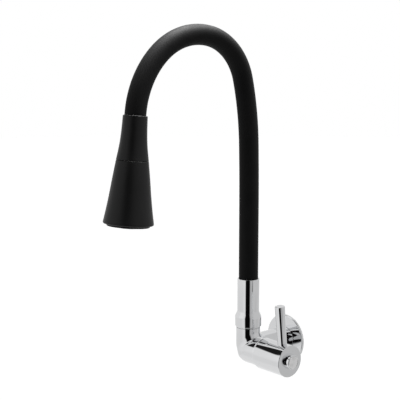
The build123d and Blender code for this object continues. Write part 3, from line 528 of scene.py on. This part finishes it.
def join_rings(bm, rings):
    """Adds a band of faces from each ring of vertices to the next. A ring may be one vertex."""
    for low, high in zip(rings, rings[1:]):
        for number in range(max(len(low), len(high))):
            walk = ((low, number), (low, number + 1), (high, number + 1), (high, number))
            corners = dict.fromkeys(ring[place % len(ring)] for ring, place in walk)
            bm.faces.new(tuple(corners))


def add_rings(bm, stations, segments, closed=False):
    """Adds a surface through rings about local Z, given as (place, radius, height). Returns them."""
    turns = [tau * number / segments for number in range(segments)]
    rings = []
    for place, radius, height in stations:
        angles = turns if radius > NEAR else [0]
        spots = [Vector((radius * cos(angle), radius * sin(angle), height)) for angle in angles]
        rings.append([bm.verts.new(place @ spot) for spot in spots])
    join_rings(bm, rings + rings[:closed])
    return rings


def edges_of(bm, ring):
    """Edges round a ring of vertices."""
    return [bm.edges.get((ring[number - 1], ring[number])) for number in range(len(ring))]


def finished(bm, name):
    """The mesh of a bmesh, which is freed."""
    mesh = bpy.data.meshes.new(name)
    bm.to_mesh(mesh)
    bm.free()
    return mesh


def ring_mesh(name, stations, segments, closed):
    """Mesh of a surface through rings, with its normals outwards."""
    bm = bmesh.new()
    add_rings(bm, stations, segments, closed)
    bmesh.ops.recalc_face_normals(bm, faces=bm.faces)
    return finished(bm, name)


def lathe_mesh(name, outline, place, segments):
    """Surface turned about local Z from (radius, height) points. Off the axis, they close to a loop."""
    return ring_mesh(name, [(place, *point) for point in outline], segments, closed=outline[0][0] > NEAR)


def lathe(name, outline, place, segments, *dressing):
    """A finished piece turned about local Z, with the material, body and node of its dressing."""
    return make_object(name, lathe_mesh(name, outline, place, segments), *dressing)


def set_normals(mesh, faces, normals):
    """Gives the corners of some faces the normals of their vertices. The others keep their own."""
    corners = np.zeros((len(mesh.loops), 3))
    for face in faces:
        for loop in face.loop_indices:
            corners[loop] = normals[mesh.loops[loop].vertex_index]
    mesh.normals_split_custom_set(corners.tolist())


def vertex_places(mesh):
    """Places of a mesh's vertices, as rows of an array."""
    places = np.empty(len(mesh.vertices) * 3)
    mesh.vertices.foreach_get("co", places)
    return places.reshape(-1, 3)


def smallest(first, second, softness):
    """The smaller of two fields, rounded where they meet."""
    mix = np.clip(0.5 + 0.5 * (second - first) / softness, 0, 1)
    return second * (1 - mix) + first * mix - softness * mix * (1 - mix)


def eased(share_along):
    """Smooth step of a share between 0 and 1."""
    held = np.clip(share_along, 0, 1)
    return held * held * (3 - 2 * held)


def casting_field(points):
    """Negative inside the casting: a leg and a barrel joined by a tight elbow, on a neck."""
    sizes = bpy.context.scene.tap_body
    across = points[..., 0]
    depth = points[..., 1] - VALVE_AXIS.y
    height = points[..., 2]
    bend = sizes.bend_radius
    growth = eased(0.5 + (across - height) / sizes.growth_length)
    radius = sizes.leg_radius + (sizes.barrel_radius - sizes.leg_radius) * growth
    leg = np.hypot(across, depth) - radius
    step = sizes.step_depth * eased((across - sizes.step_place) / sizes.step_length)
    barrel = np.hypot(height, depth) - radius + step
    from_bend = np.hypot(across - bend, height - bend) - bend
    corner = np.hypot(from_bend, depth) - radius
    inner = np.minimum(across, height) - bend
    softness = 1e-6 + sizes.crease_fillet * eased(inner / (2 * bend))
    elbow = np.where(inner > 0, smallest(leg, barrel, softness), np.where(height > bend, leg, barrel))
    elbow = np.where(np.maximum(across, height) < bend, corner, elbow)
    dome = np.minimum(points[..., 1] + sizes.neck_reach, 0)
    neck = np.sqrt(across**2 + height**2 + dome**2) - sizes.neck_radius
    return smallest(elbow, neck, sizes.neck_fillet)


def field_slope(field, points, step=1e-5):
    """Gradient of a field at points."""
    slope = np.empty_like(points)
    for axis in range(3):
        move = np.zeros(3)
        move[axis] = step
        slope[:, axis] = (field(points + move) - field(points - move)) / (2 * step)
    return slope


def surface_of(field, low, high, step, rounds=6):
    """Vertices and quads of the surface where a field is zero, between two corners."""
    lines = [np.arange(a, b + step, step) for a, b in zip(low, high)]
    grid = np.stack(np.meshgrid(*lines, indexing="ij"), axis=-1)
    inside = field(grid) < 0
    count = np.zeros([size - 1 for size in inside.shape], int)
    for corner in product((0, 1), repeat=3):
        count += inside[tuple(slice(c, c + size) for c, size in zip(corner, count.shape))]
    cells = (count > 0) & (count < 8)
    index = np.full(cells.shape, -1)
    index[cells] = np.arange(cells.sum())
    points = np.array(low) + (np.argwhere(cells) + 0.5) * step
    for _ in range(rounds):
        slope = field_slope(field, points)
        points = points - slope * (field(points) / (slope**2).sum(axis=1))[:, None]
    quads = []
    for axis in range(3):
        second, third = np.eye(3, dtype=int)[[(axis + 1) % 3, (axis + 2) % 3]]
        ahead = tuple(slice(1 if axis == a else 0, None) for a in range(3))
        behind = tuple(slice(0, -1 if axis == a else None) for a in range(3))
        edges = np.argwhere(inside[behind] != inside[ahead])
        within = (edges - second - third >= 0) & (edges < np.array(cells.shape))
        edges = edges[within.all(axis=1)]
        leaving = inside[tuple(edges.T)]
        corners = [edges - second - third, edges - third, edges, edges - second]
        faces = np.stack([index[tuple(corner.T)] for corner in corners], axis=1)
        faces[~leaving] = faces[~leaving][:, ::-1]
        quads.append(faces)
    return points, np.concatenate(quads)


def cut_open(bm, place, outwards):
    """Cuts a mesh at a plane, drops what lies beyond it and returns the rim."""
    geometry = list(bm.verts) + list(bm.edges) + list(bm.faces)
    cut = bmesh.ops.bisect_plane(
        bm, geom=geometry, plane_co=place, plane_no=outwards, clear_outer=True, dist=NEAR
    )
    return [item for item in cut["geom_cut"] if isinstance(item, bmesh.types.BMEdge)]


def thread_rings(bm, low, high, sizes, place, segments=96, steps=10):
    """Adds a threaded surface between two heights. Returns its first and last rings."""
    pitch = sizes.thread_pitch
    rows = ceil((high - low) / pitch * steps)
    rings = []
    for row in range(rows + 1):
        height = low + (high - low) * row / rows
        depth = sizes.thread_depth * max(0, min(1, (high - height) / pitch, (height - low) / pitch))
        ring = []
        for number in range(segments):
            angle = tau * number / segments
            phase = (height / pitch - number / segments) % 1
            groove = min(1, max(0, 1.6 * abs(2 * phase - 1) - 0.3))
            radius = sizes.tail_radius - depth * (1 - groove)
            ring.append(bm.verts.new(place @ Vector((radius * cos(angle), radius * sin(angle), height))))
        rings.append(ring)
    join_rings(bm, rings)
    return rings[0], rings[-1]


class TapOperator(bpy.types.Operator):
    """Shared options of the tap's operators."""

    bl_options = {"REGISTER", "UNDO"}


class TAP_OT_stage(TapOperator):
    """Adds the camera, the pale floor and the soft studio light"""

    bl_idname = "tap.stage"
    bl_label = "Stage"

    def execute(self, context):
        stage = context.scene.tap_stage
        camera = new_object("camera", bpy.data.cameras.new("camera"))
        camera.location = stage.camera_place
        camera.rotation_euler = (pi / 2 - stage.camera_pitch, 0, stage.camera_yaw)
        camera.data.lens = stage.camera_lens
        camera.data.sensor_width = 36
        camera.data.clip_start = 0.01
        camera.data.clip_end = 50
        context.scene.camera = camera
        context.scene.view_settings.view_transform = "Standard"
        self.add_floor(stage)
        self.add_softbox(stage)
        self.add_world(context, stage)
        return {"FINISHED"}

    def add_softbox(self, stage):
        """A softbox over and behind the arch, which lights only the matt black pieces."""
        lamp = bpy.data.lights.new("softbox", "AREA")
        lamp.shape = "DISK"
        lamp.size = stage.softbox_size
        lamp.energy = stage.softbox_power
        softbox = new_object("softbox", lamp)
        aim = (BENDS[4] + BENDS[0]) / 2
        turn = Matrix.Rotation(stage.camera_yaw, 3, "Z")
        aside, up = stage.softbox_turn, stage.softbox_height
        way = turn @ Vector((cos(up) * sin(aside), cos(up) * cos(aside), sin(up)))
        softbox.location = aim + way * stage.softbox_distance
        softbox.rotation_euler = way.to_track_quat("Z", "Y").to_euler()
        softbox.light_linking.receiver_collection = matt_black()

    def add_floor(self, stage):
        """A pale floor, plain and evenly lit."""
        bm = bmesh.new()
        bmesh.ops.create_circle(bm, cap_ends=True, radius=stage.floor_radius, segments=128)
        bmesh.ops.translate(bm, verts=bm.verts, vec=(0, 0, -stage.floor_drop))
        mesh = finished(bm, "floor")
        pale = {"Base Color": (0.9, 0.9, 0.9, 1), "Roughness": 0.9, "Specular IOR Level": 0.1}
        glow = {"Emission Color": (1, 1, 1, 1), "Emission Strength": 0.52}
        mesh.materials.append(Finish("pale_floor", {**pale, **glow}).material)
        floor = new_object("floor", mesh)
        floor.visible_glossy = False

    def add_world(self, context, stage):
        """A light tent: white all round, with a dark opening where the camera looks in."""
        world = bpy.data.worlds.new("light_tent")
        world.use_nodes = True
        context.scene.world = world
        graph = Graph(world.node_tree)
        background = world.node_tree.nodes["Background"]
        towards = (sin(stage.camera_yaw), -cos(stage.camera_yaw), 0)
        right = (cos(stage.camera_yaw), sin(stage.camera_yaw), 0)
        direction = graph.node("ShaderNodeTexCoord", output="Generated")

        def along(vector):
            sockets = {0: direction, 1: vector}
            return graph.node("ShaderNodeVectorMath", {"operation": "DOT_PRODUCT"}, sockets, output="Value")

        sideways = along(right).maths("ARCTAN2", along(towards)) * (180 / pi)
        upwards = along((0, 0, 1)).maths("ARCSINE") * (180 / pi)

        def patch(left, far_right, low, high, soft):
            """1 in a window of the tent between two angles sideways and two angles up."""
            window = sideways.ramp(left - soft, left + soft) * upwards.ramp(low - soft, low + soft)
            window = window * (1 - sideways.ramp(far_right - soft, far_right + soft))
            return window * (1 - upwards.ramp(high - soft, high + soft))

        right_side = sideways.ramp(-2, 8) * (1 - sideways.ramp(132, 150))
        near_side = right_side * (1 - sideways.ramp(20, 65))
        behind = 1 - sideways.ramp(-176, -146) + sideways.ramp(138, 168)
        above = upwards.ramp(-14, 8)
        tent = patch(-90, -45, 2, 48, 10) * 0.08 - patch(-135, -58, -32, -8, 6) * 0.055 + 0.8
        tent = tent + behind * (0.12 - above * 0.17) - right_side * 0.2 - near_side * 0.11
        opening = sideways.ramp(-35, -28) * (1 - sideways.ramp(9, 20))
        opening = opening * upwards.ramp(-47, -31) * (1 - upwards.ramp(56, 66))
        dark_bar = patch(-126.5, -95, 27.5, 53, 2.2)
        line = patch(35.5, 43, -19, -6, 2.5) * 0.85 + patch(64, 93, -25, -11, 4) * 0.1
        flag = sideways.ramp(-50, -20) * (1 - sideways.ramp(70, 110)) * upwards.ramp(57, 64)
        light = tent * (1 - opening * 0.997) * (1 - dark_bar * 0.985) * (1 - line) * (1 - flag * 0.9)
        is_camera = graph.node("ShaderNodeLightPath", output="Is Camera Ray")
        strength = light * (1 - is_camera) + is_camera
        graph.fill(background.inputs["Color"], (1, 1, 1, 1))
        graph.fill(background.inputs["Strength"], strength)


class TAP_OT_wall_flange(TapOperator):
    """Adds the round chrome flange that lies on the wall"""

    bl_idname = "tap.wall_flange"
    bl_label = "Wall flange"

    def execute(self, context):
        make_materials()
        sizes = context.scene.tap_body
        low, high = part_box("wall_flange")
        radius = (high.x - low.x) / 2
        height = high.y - low.y
        hole = sizes.neck_radius + sizes.flange_gap
        inner = radius - sizes.flange_rim
        back = height - sizes.flange_sheet
        outline = rounded(
            (hole, height, 0.15 * MM),
            (radius, height, sizes.flange_edge),
            (radius, 0, 0.25 * MM),
            (inner, 0, 0.2 * MM),
            (inner, back, 0.2 * MM),
            (hole, back, 0.1 * MM),
            steps=8,
        )
        lathe("wall_flange_plate", outline, INLET, 256, "chrome", "valve", "wall_flange")
        return {"FINISHED"}


class TAP_OT_valve_casting(TapOperator):
    """Adds the cast body: neck, elbow, leg and barrel, with its pockets and threaded tail"""

    bl_idname = "tap.valve_casting"
    bl_label = "Valve casting"

    def execute(self, context):
        make_materials()
        sizes = context.scene.tap_body
        low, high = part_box("valve_body")
        margin = sizes.mesh_margin
        first = (low.x - margin, low.y - margin, low.z - margin)
        last = (high.x + margin, margin, high.z + margin)
        points, quads = surface_of(casting_field, first, last, sizes.mesh_step)
        bm = bmesh.new()
        verts = [bm.verts.new(point) for point in points]
        for quad in quads:
            if (quad >= 0).all():
                bm.faces.new([verts[corner] for corner in quad])
        port = cut_open(bm, (high.x, 0, 0), (1, 0, 0))
        top = cut_open(bm, (0, 0, high.z), (0, 0, 1))
        wall = cut_open(bm, (0, 0, 0), (0, 1, 0))
        skin = set(bm.faces)
        self.add_pocket(bm, port, VALVE, high.x, sizes.port_floor, sizes.port_radius)
        self.add_pocket(bm, top, RISER, high.z, sizes.socket_floor, sizes.socket_radius)
        self.add_tail(bm, wall, high.y, sizes)
        bmesh.ops.recalc_face_normals(bm, faces=bm.faces)
        on_skin = [number for number, face in enumerate(bm.faces) if face in skin]
        mesh = finished(bm, "valve_casting")
        make_object("valve_casting", mesh, "chrome_cast", "valve", "valve_body", slot="chrome")
        slope = field_slope(casting_field, vertex_places(mesh))
        slope /= np.linalg.norm(slope, axis=1)[:, None]
        set_normals(mesh, [mesh.polygons[number] for number in on_skin], slope)
        return {"FINISHED"}

    def add_pocket(self, bm, rim, place, mouth, floor, radius):
        """Closes a cut end with a face round a bored pocket."""
        stations = ((place, radius, mouth), (place, radius, floor), (place, 0, floor))
        inner = add_rings(bm, stations, 96)[0]
        bmesh.ops.triangle_fill(bm, edges=rim + edges_of(bm, inner), use_beauty=True)

    def add_tail(self, bm, rim, end, sizes):
        """Closes the wall side with the threaded tail and its bore."""
        outwards = INLET @ Matrix.Rotation(pi, 4, "X")
        root, tip = thread_rings(bm, sizes.tail_foot, end - sizes.tail_lead, sizes, outwards)
        bmesh.ops.triangle_fill(bm, edges=rim + edges_of(bm, root), use_beauty=True)
        lead, bore, floor = sizes.tail_radius - sizes.tail_lead, sizes.bore_radius, -sizes.bore_depth
        outline = ((lead, end), (bore, end), (bore, floor), (0, floor))
        mouth = add_rings(bm, [(outwards, *point) for point in outline], 96)[0]
        bmesh.ops.bridge_loops(bm, edges=edges_of(bm, tip) + edges_of(bm, mouth))


class TAP_OT_handle(TapOperator):
    """Adds the turned handle sleeve, the pin lever and the plain round button"""

    bl_idname = "tap.handle"
    bl_label = "Handle"

    def execute(self, context):
        make_materials()
        sizes = context.scene.tap_handle
        low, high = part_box("handle_sleeve")
        radius = (high.z - low.z) / 2
        start, end, floor = sizes.skirt_start, high.x, sizes.bore_floor
        recess = end - sizes.recess_depth
        outline = rounded(
            (sizes.bore_radius, start, 0.3 * MM),
            (radius, start, sizes.skirt_edge),
            (radius, end - sizes.end_chamfer, 0.1 * MM),
            (radius - sizes.end_chamfer, end, 0.1 * MM),
            (sizes.recess_radius, end, 0.15 * MM),
            (sizes.recess_radius, recess, 0),
            (sizes.screw_radius, recess, 0),
            (sizes.screw_radius, floor, 0),
            (sizes.bore_radius, floor, 0),
            steps=5,
        )
        lathe("handle_barrel", outline, VALVE, 256, "chrome", "handle", "handle_sleeve")
        self.add_lever(sizes)
        self.add_button(sizes, end)
        return {"FINISHED"}

    def add_lever(self, sizes):
        """A slightly tapered pin with a rounded tip."""
        place = Matrix.Translation((sizes.lever_place, 0, 0)) @ Matrix.Rotation(sizes.lever_lean, 4, "X")
        outline = rounded(
            (0, sizes.lever_seat, 0),
            (sizes.lever_base, sizes.lever_seat, 0),
            (sizes.lever_tip, sizes.lever_reach, sizes.lever_edge),
            (0, sizes.lever_reach, 0),
            steps=10,
        )
        lathe("pin_lever", outline, RISER @ place, 160, "chrome", "handle", "handle_lever")

    def add_button(self, sizes, seat):
        """A plain button with a slanted side and a fine groove round its bare, satin face."""
        low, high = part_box("index_button")
        top = high.x
        groove = sizes.button_face - sizes.groove_inset
        half_width = sizes.groove_width / 2
        outline = rounded(
            (0, top, 0),
            (groove - half_width, top, 0.06 * MM),
            (groove, top - sizes.groove_depth, 0),
            (groove + half_width, top, 0.06 * MM),
            (sizes.button_face, top, sizes.button_edge),
            (sizes.button_foot, seat, 0.1 * MM),
            (sizes.button_plug, seat, 0),
            (sizes.button_plug, low.x, 0),
            (0, low.x, 0),
        )
        segments = 192
        button = lathe("end_button", outline, VALVE, segments, "chrome", "handle", "index_button")
        button.data.materials.append(MATERIALS["satin_chrome"])
        for part in button.data.polygons[:segments]:
            part.material_index = 1


class TAP_OT_riser_collar(TapOperator):
    """Adds the chrome collar at the foot of the hose"""

    bl_idname = "tap.riser_collar"
    bl_label = "Riser collar"

    def execute(self, context):
        make_materials()
        sizes = context.scene.tap_spout
        low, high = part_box("swivel_collar")
        bulge, tube, edge = sizes.bulge_radius, sizes.collar_radius, sizes.collar_edge
        bore = sizes.hose_outer + sizes.hose_play
        middle = (sizes.bulge_top + sizes.shoulder_top) / 2
        shoulder = []
        for share_up in np.linspace(0, 1, 25):
            height = sizes.bulge_top + (sizes.shoulder_top - sizes.bulge_top) * share_up
            shoulder.append(Vector((tube + (bulge - tube) / 2 * (1 + cos(pi * share_up)), height)))
        foot = rounded((sizes.foot_bore, low.z, 0.1 * MM), (bulge, low.z, edge), (bulge, middle, 0))[:-1]
        seat = high.z - sizes.hose_seat
        lip = rounded(
            (tube, middle, 0), (tube, high.z, edge), (bore, high.z, 0.15 * MM), (bore, seat, 0)
        )[1:]
        inside = [Vector((sizes.foot_bore, low.z + sizes.foot_depth))]
        lathe("collar_tube", foot + shoulder + lip + inside, RISER, 256, "chrome", "riser", "swivel_collar")
        self.add_slip_ring(sizes)
        return {"FINISHED"}

    def add_slip_ring(self, sizes):
        """The polished ring that shows as a fine line between the collar and the casting."""
        low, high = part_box("slip_washer")
        radius, edge = (high.x - low.x) / 2, sizes.slip_edge
        inside = radius - sizes.slip_width
        outline = rounded(
            (inside, low.z, 0), (radius, low.z, edge), (radius, high.z, edge), (inside, high.z, 0)
        )
        lathe("slip_ring", outline, RISER, 192, "chrome", "riser", "slip_washer")


def hose_stations(sizes):
    """Points of the hose's centre line with their turn about X, and the index of each arc's middle.

    The joints stand where two spans of the frame meet, so each length of skin runs from the
    middle of one arc to the middle of the next, and bends over the joint between them.
    """
    places = BENDS + [HEAD_TOP]
    foot = Vector((places[0].x, places[0].y, sizes.hose_foot))
    rows = ceil((places[0].z - foot.z) / (3 * sizes.hose_step))
    line = [(foot.lerp(places[0], row / rows), 0.0) for row in range(rows)]
    marks = [0]
    turn = 0.0
    for start, end in zip(places, places[1:]):
        chord = end - start
        half = atan2(-chord.y, chord.z) - turn
        radius = chord.length / (2 * sin(half))
        rows = 2 * ceil(radius * half / sizes.hose_step)
        marks.append(len(line) + rows // 2)
        for row in range(rows):
            angle = 2 * half * row / rows
            move = Vector((0, radius * (cos(angle) - 1), radius * sin(angle)))
            line.append((start + Matrix.Rotation(turn, 3, "X") @ move, turn + angle))
        turn += 2 * half
    line += [(HEAD_TOP + HEAD_AXIS * (sizes.hose_in_head * row / 4), turn) for row in range(5)]
    return line, marks


class TAP_OT_hose(TapOperator):
    """Adds the hose's silicone skin in five lengths that run across the hose's joints"""

    bl_idname = "tap.hose"
    bl_label = "Hose"

    def execute(self, context):
        make_materials()
        sizes = context.scene.tap_spout
        line, marks = hose_stations(sizes)
        ends = [mark + 1 for mark in marks[1:5]] + [len(line)]
        for number, end in enumerate(ends):
            nodes = [f"hose_sleeve_{number + 1}"]
            if number == 4:
                nodes.append("hose_sleeve_6")
            skin = self.add_skin(f"hose_skin_{number + 1}", line[marks[number] : end], nodes, sizes)
            self.blend_over(skin, number, line, marks, sizes)
        return {"FINISHED"}

    def add_skin(self, name, line, nodes, sizes, segments=112):
        """A length of hose with flat ends, whose outside has the normals of the unbroken hose."""
        spots = [Matrix.Translation(place) @ Matrix.Rotation(turn, 4, "X") for place, turn in line]
        stations = [(spot, sizes.hose_outer, 0) for spot in spots]
        stations += [(spot, sizes.hose_inner, 0) for spot in reversed(spots)]
        mesh = ring_mesh(name, stations, segments, closed=True)
        skin = make_object(name, mesh, "black_silicone", None, *nodes)
        centres = np.repeat([place for place, turn in line], segments, axis=0)
        outwards = vertex_places(mesh)[: len(centres)] - centres
        outwards /= np.linalg.norm(outwards, axis=1)[:, None]
        set_normals(mesh, mesh.polygons[: len(centres) - segments], outwards)
        return skin

    def blend_over(self, skin, number, line, marks, sizes):
        """Works out the lead-in and lead-out of a length of hose at its joint, and bakes its transform into its
        mesh.
        """
        first, first_turn = line[marks[number]]
        last, last_turn = line[marks[number + 1]]
        if number == 0:
            first = BENDS[0] * 2 - last
        chord = (last - first).normalized()
        lean = atan2(-chord.y, chord.z)
        lead_in = sizes.hose_outer * abs(sin(first_turn - lean)) + 0.2 * MM
        lead_out = sizes.hose_outer * abs(sin(last_turn - lean)) + 0.2 * MM
        start, end = first + chord * lead_in, last - chord * lead_out
        HOSE_BODIES[number + 1]
        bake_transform(skin)


class TAP_OT_spray_head(TapOperator):
    """Adds the two shells of the spray head and its nozzles"""

    bl_idname = "tap.spray_head"
    bl_label = "Spray head"

    def execute(self, context):
        make_materials()
        sizes = context.scene.tap_head
        spout = context.scene.tap_spout
        bore = spout.hose_outer + spout.hose_play
        upper = smooth_through(zip(sizes.upper_radii, sizes.upper_places), 14)
        upper = self.shell_outline(upper, sizes.wall, sizes.top_edge, sizes.seam_edge)
        upper = [(max(radius, bore), height) for radius, height in upper]
        lathe("upper_shell", upper, HEAD, 192, "black_plastic", "head", "head_collar")
        cone = smooth_through(zip(sizes.lower_radii, sizes.lower_places), 14)
        cone = self.shell_outline(cone, sizes.wall, sizes.seam_edge, sizes.rim_edge)
        lathe("lower_cone", cone, HEAD, 224, "black_plastic", "selector", "head_cone")
        self.add_nozzles(sizes)
        return {"FINISHED"}

    def shell_outline(self, curve, wall, top_edge, foot_edge):
        """Outline of a shell: its outside curve with rounded ends, then its inner wall."""
        inner = [Vector((point.x - wall, point.y)) for point in reversed(curve)]
        first, last = curve[0], curve[-1]
        top = rounded((*inner[-1], 0.1 * MM), (*first, top_edge), (*curve[1], 0))[:-1]
        foot = rounded((*curve[-2], 0), (*last, foot_edge), (*inner[0], 0.1 * MM))[1:]
        middle = [point for point in curve if first.y + 2 * top_edge < point.y < last.y - 2 * foot_edge]
        return top + middle + foot + inner[1:-1]

    def add_nozzles(self, sizes):
        """The soft mat with its nozzles, made by a node tree that repeats one nozzle on each ring."""
        mat_top = sizes.face_front - sizes.mat_depth
        foot, tip = mat_top + 0.1 * MM, sizes.face_front + sizes.nozzle_height
        radius, mouth, throat = sizes.nozzle_radius, 0.3 * sizes.nozzle_radius, tip - sizes.mouth_depth
        outline = rounded(
            (0, foot, 0), (radius, foot, 0), (0.72 * radius, tip, 0.22 * MM), (mouth, tip, 0.08 * MM),
            (mouth, throat, 0), (0, throat, 0), steps=3,
        )
        upright = Matrix.Identity(4)
        seed = bpy.data.objects.new("nozzle", lathe_mesh("nozzle", outline, upright, segments=20))
        inner, outer, mat_low = sizes.mat_inner, sizes.mat_outer, mat_top - sizes.mat_sheet
        outline = [(inner, mat_low), (outer, mat_low), (outer, mat_top), (inner, mat_top)]
        sheet = new_object("nozzle_sheet", lathe_mesh("nozzle_sheet", outline, upright, segments=96))
        modifier = sheet.modifiers.new("nozzles", "NODES")
        modifier.node_group = self.nozzle_tree()
        values = {
            "Nozzle": seed, "Inner Radius": sizes.inner_ring, "Outer Radius": sizes.outer_ring,
            "Inner Count": sizes.inner_count, "Outer Count": sizes.outer_count,
            "Material": MATERIALS["nozzle_rubber"],
        }
        for item in modifier.node_group.interface.items_tree:
            if item.in_out == "INPUT" and item.name in values:
                modifier[item.identifier] = values[item.name]
        evaluated = sheet.evaluated_get(bpy.context.evaluated_depsgraph_get())
        mesh = bpy.data.meshes.new_from_object(evaluated)
        bpy.data.objects.remove(sheet)
        bpy.data.objects.remove(seed)
        mesh.transform(HEAD)
        mesh.materials.clear()
        make_object("spray_nozzles", mesh, "nozzle_rubber", "selector", "nozzle_mat")

    def nozzle_tree(self):
        """Node tree: the sheet joined with one nozzle on every point of two rings."""
        tree = bpy.data.node_groups.new("nozzle_rings", "GeometryNodeTree")
        tree.interface.new_socket("Geometry", in_out="OUTPUT", socket_type="NodeSocketGeometry")
        inputs = {
            "Geometry": "Geometry", "Nozzle": "Object", "Inner Radius": "Float", "Outer Radius": "Float",
            "Inner Count": "Int", "Outer Count": "Int", "Material": "Material",
        }
        for name, kind in inputs.items():
            tree.interface.new_socket(name, in_out="INPUT", socket_type="NodeSocket" + kind)
        graph = Graph(tree)
        given = graph.node("NodeGroupInput").socket.node.outputs
        seed = graph.node("GeometryNodeObjectInfo", {}, {"Object": given["Nozzle"]}, output="Geometry")
        joined = graph.node("GeometryNodeJoinGeometry", {}, {"Geometry": given["Geometry"]})
        for ring in ("Inner", "Outer"):
            sockets = {"Vertices": given[f"{ring} Count"], "Radius": given[f"{ring} Radius"]}
            circle = graph.node("GeometryNodeMeshCircle", {}, sockets)
            placed = graph.node("GeometryNodeInstanceOnPoints", {}, {"Points": circle, "Instance": seed})
            graph.fill(joined.socket.node.inputs["Geometry"], placed)
        real = graph.node("GeometryNodeRealizeInstances", {}, {"Geometry": joined})
        sockets = {"Geometry": real, "Material": given["Material"]}
        coated = graph.node("GeometryNodeSetMaterial", {}, sockets)
        graph.node("NodeGroupOutput", {}, {"Geometry": coated})
        return tree


class TAP_OT_inner_parts(TapOperator):
    """Gives every part that keeps its frame shape the finish of its slot"""

    bl_idname = "tap.inner_parts"
    bl_label = "Inner parts"

    def execute(self, context):
        make_materials()
        for name, node in NODES.items():
            node.data.materials.clear()
            node.data.materials.append(MATERIALS[SLOTS[name]])
        return {"FINISHED"}


class TAP_PT_panel(bpy.types.Panel):
    """Lists the tap's sizes and the operators that make it"""

    bl_label = "Wall kitchen tap"
    bl_idname = "TAP_PT_panel"
    bl_space_type = "VIEW_3D"
    bl_region_type = "UI"
    bl_category = "Tap"

    def draw(self, context):
        layout = self.layout
        for operator in OPERATORS:
            layout.operator(operator.bl_idname)
        for group in GROUPS:
            box = layout.box()
            box.label(text=group.replace("_", " ").capitalize())
            sizes = getattr(context.scene, group)
            for name in sizes.__annotations__:
                box.prop(sizes, name)


OPERATORS = (
    TAP_OT_stage,
    TAP_OT_inner_parts,
    TAP_OT_wall_flange,
    TAP_OT_valve_casting,
    TAP_OT_handle,
    TAP_OT_riser_collar,
    TAP_OT_hose,
    TAP_OT_spray_head,
)
CLASSES = (*GROUPS.values(), *OPERATORS, TAP_PT_panel)


def register():
    for item in CLASSES:
        bpy.utils.register_class(item)
    for name, group in GROUPS.items():
        setattr(bpy.types.Scene, name, bpy.props.PointerProperty(type=group))


def unregister():
    for name in GROUPS:
        delattr(bpy.types.Scene, name)
    for item in reversed(CLASSES):
        bpy.utils.unregister_class(item)


def main():
    """Registers the tap and makes every piece."""
    register()
    for operator in OPERATORS:
        group, name = operator.bl_idname.split(".")
        getattr(getattr(bpy.ops, group), name)()


if __name__ == "__main__":
    main()
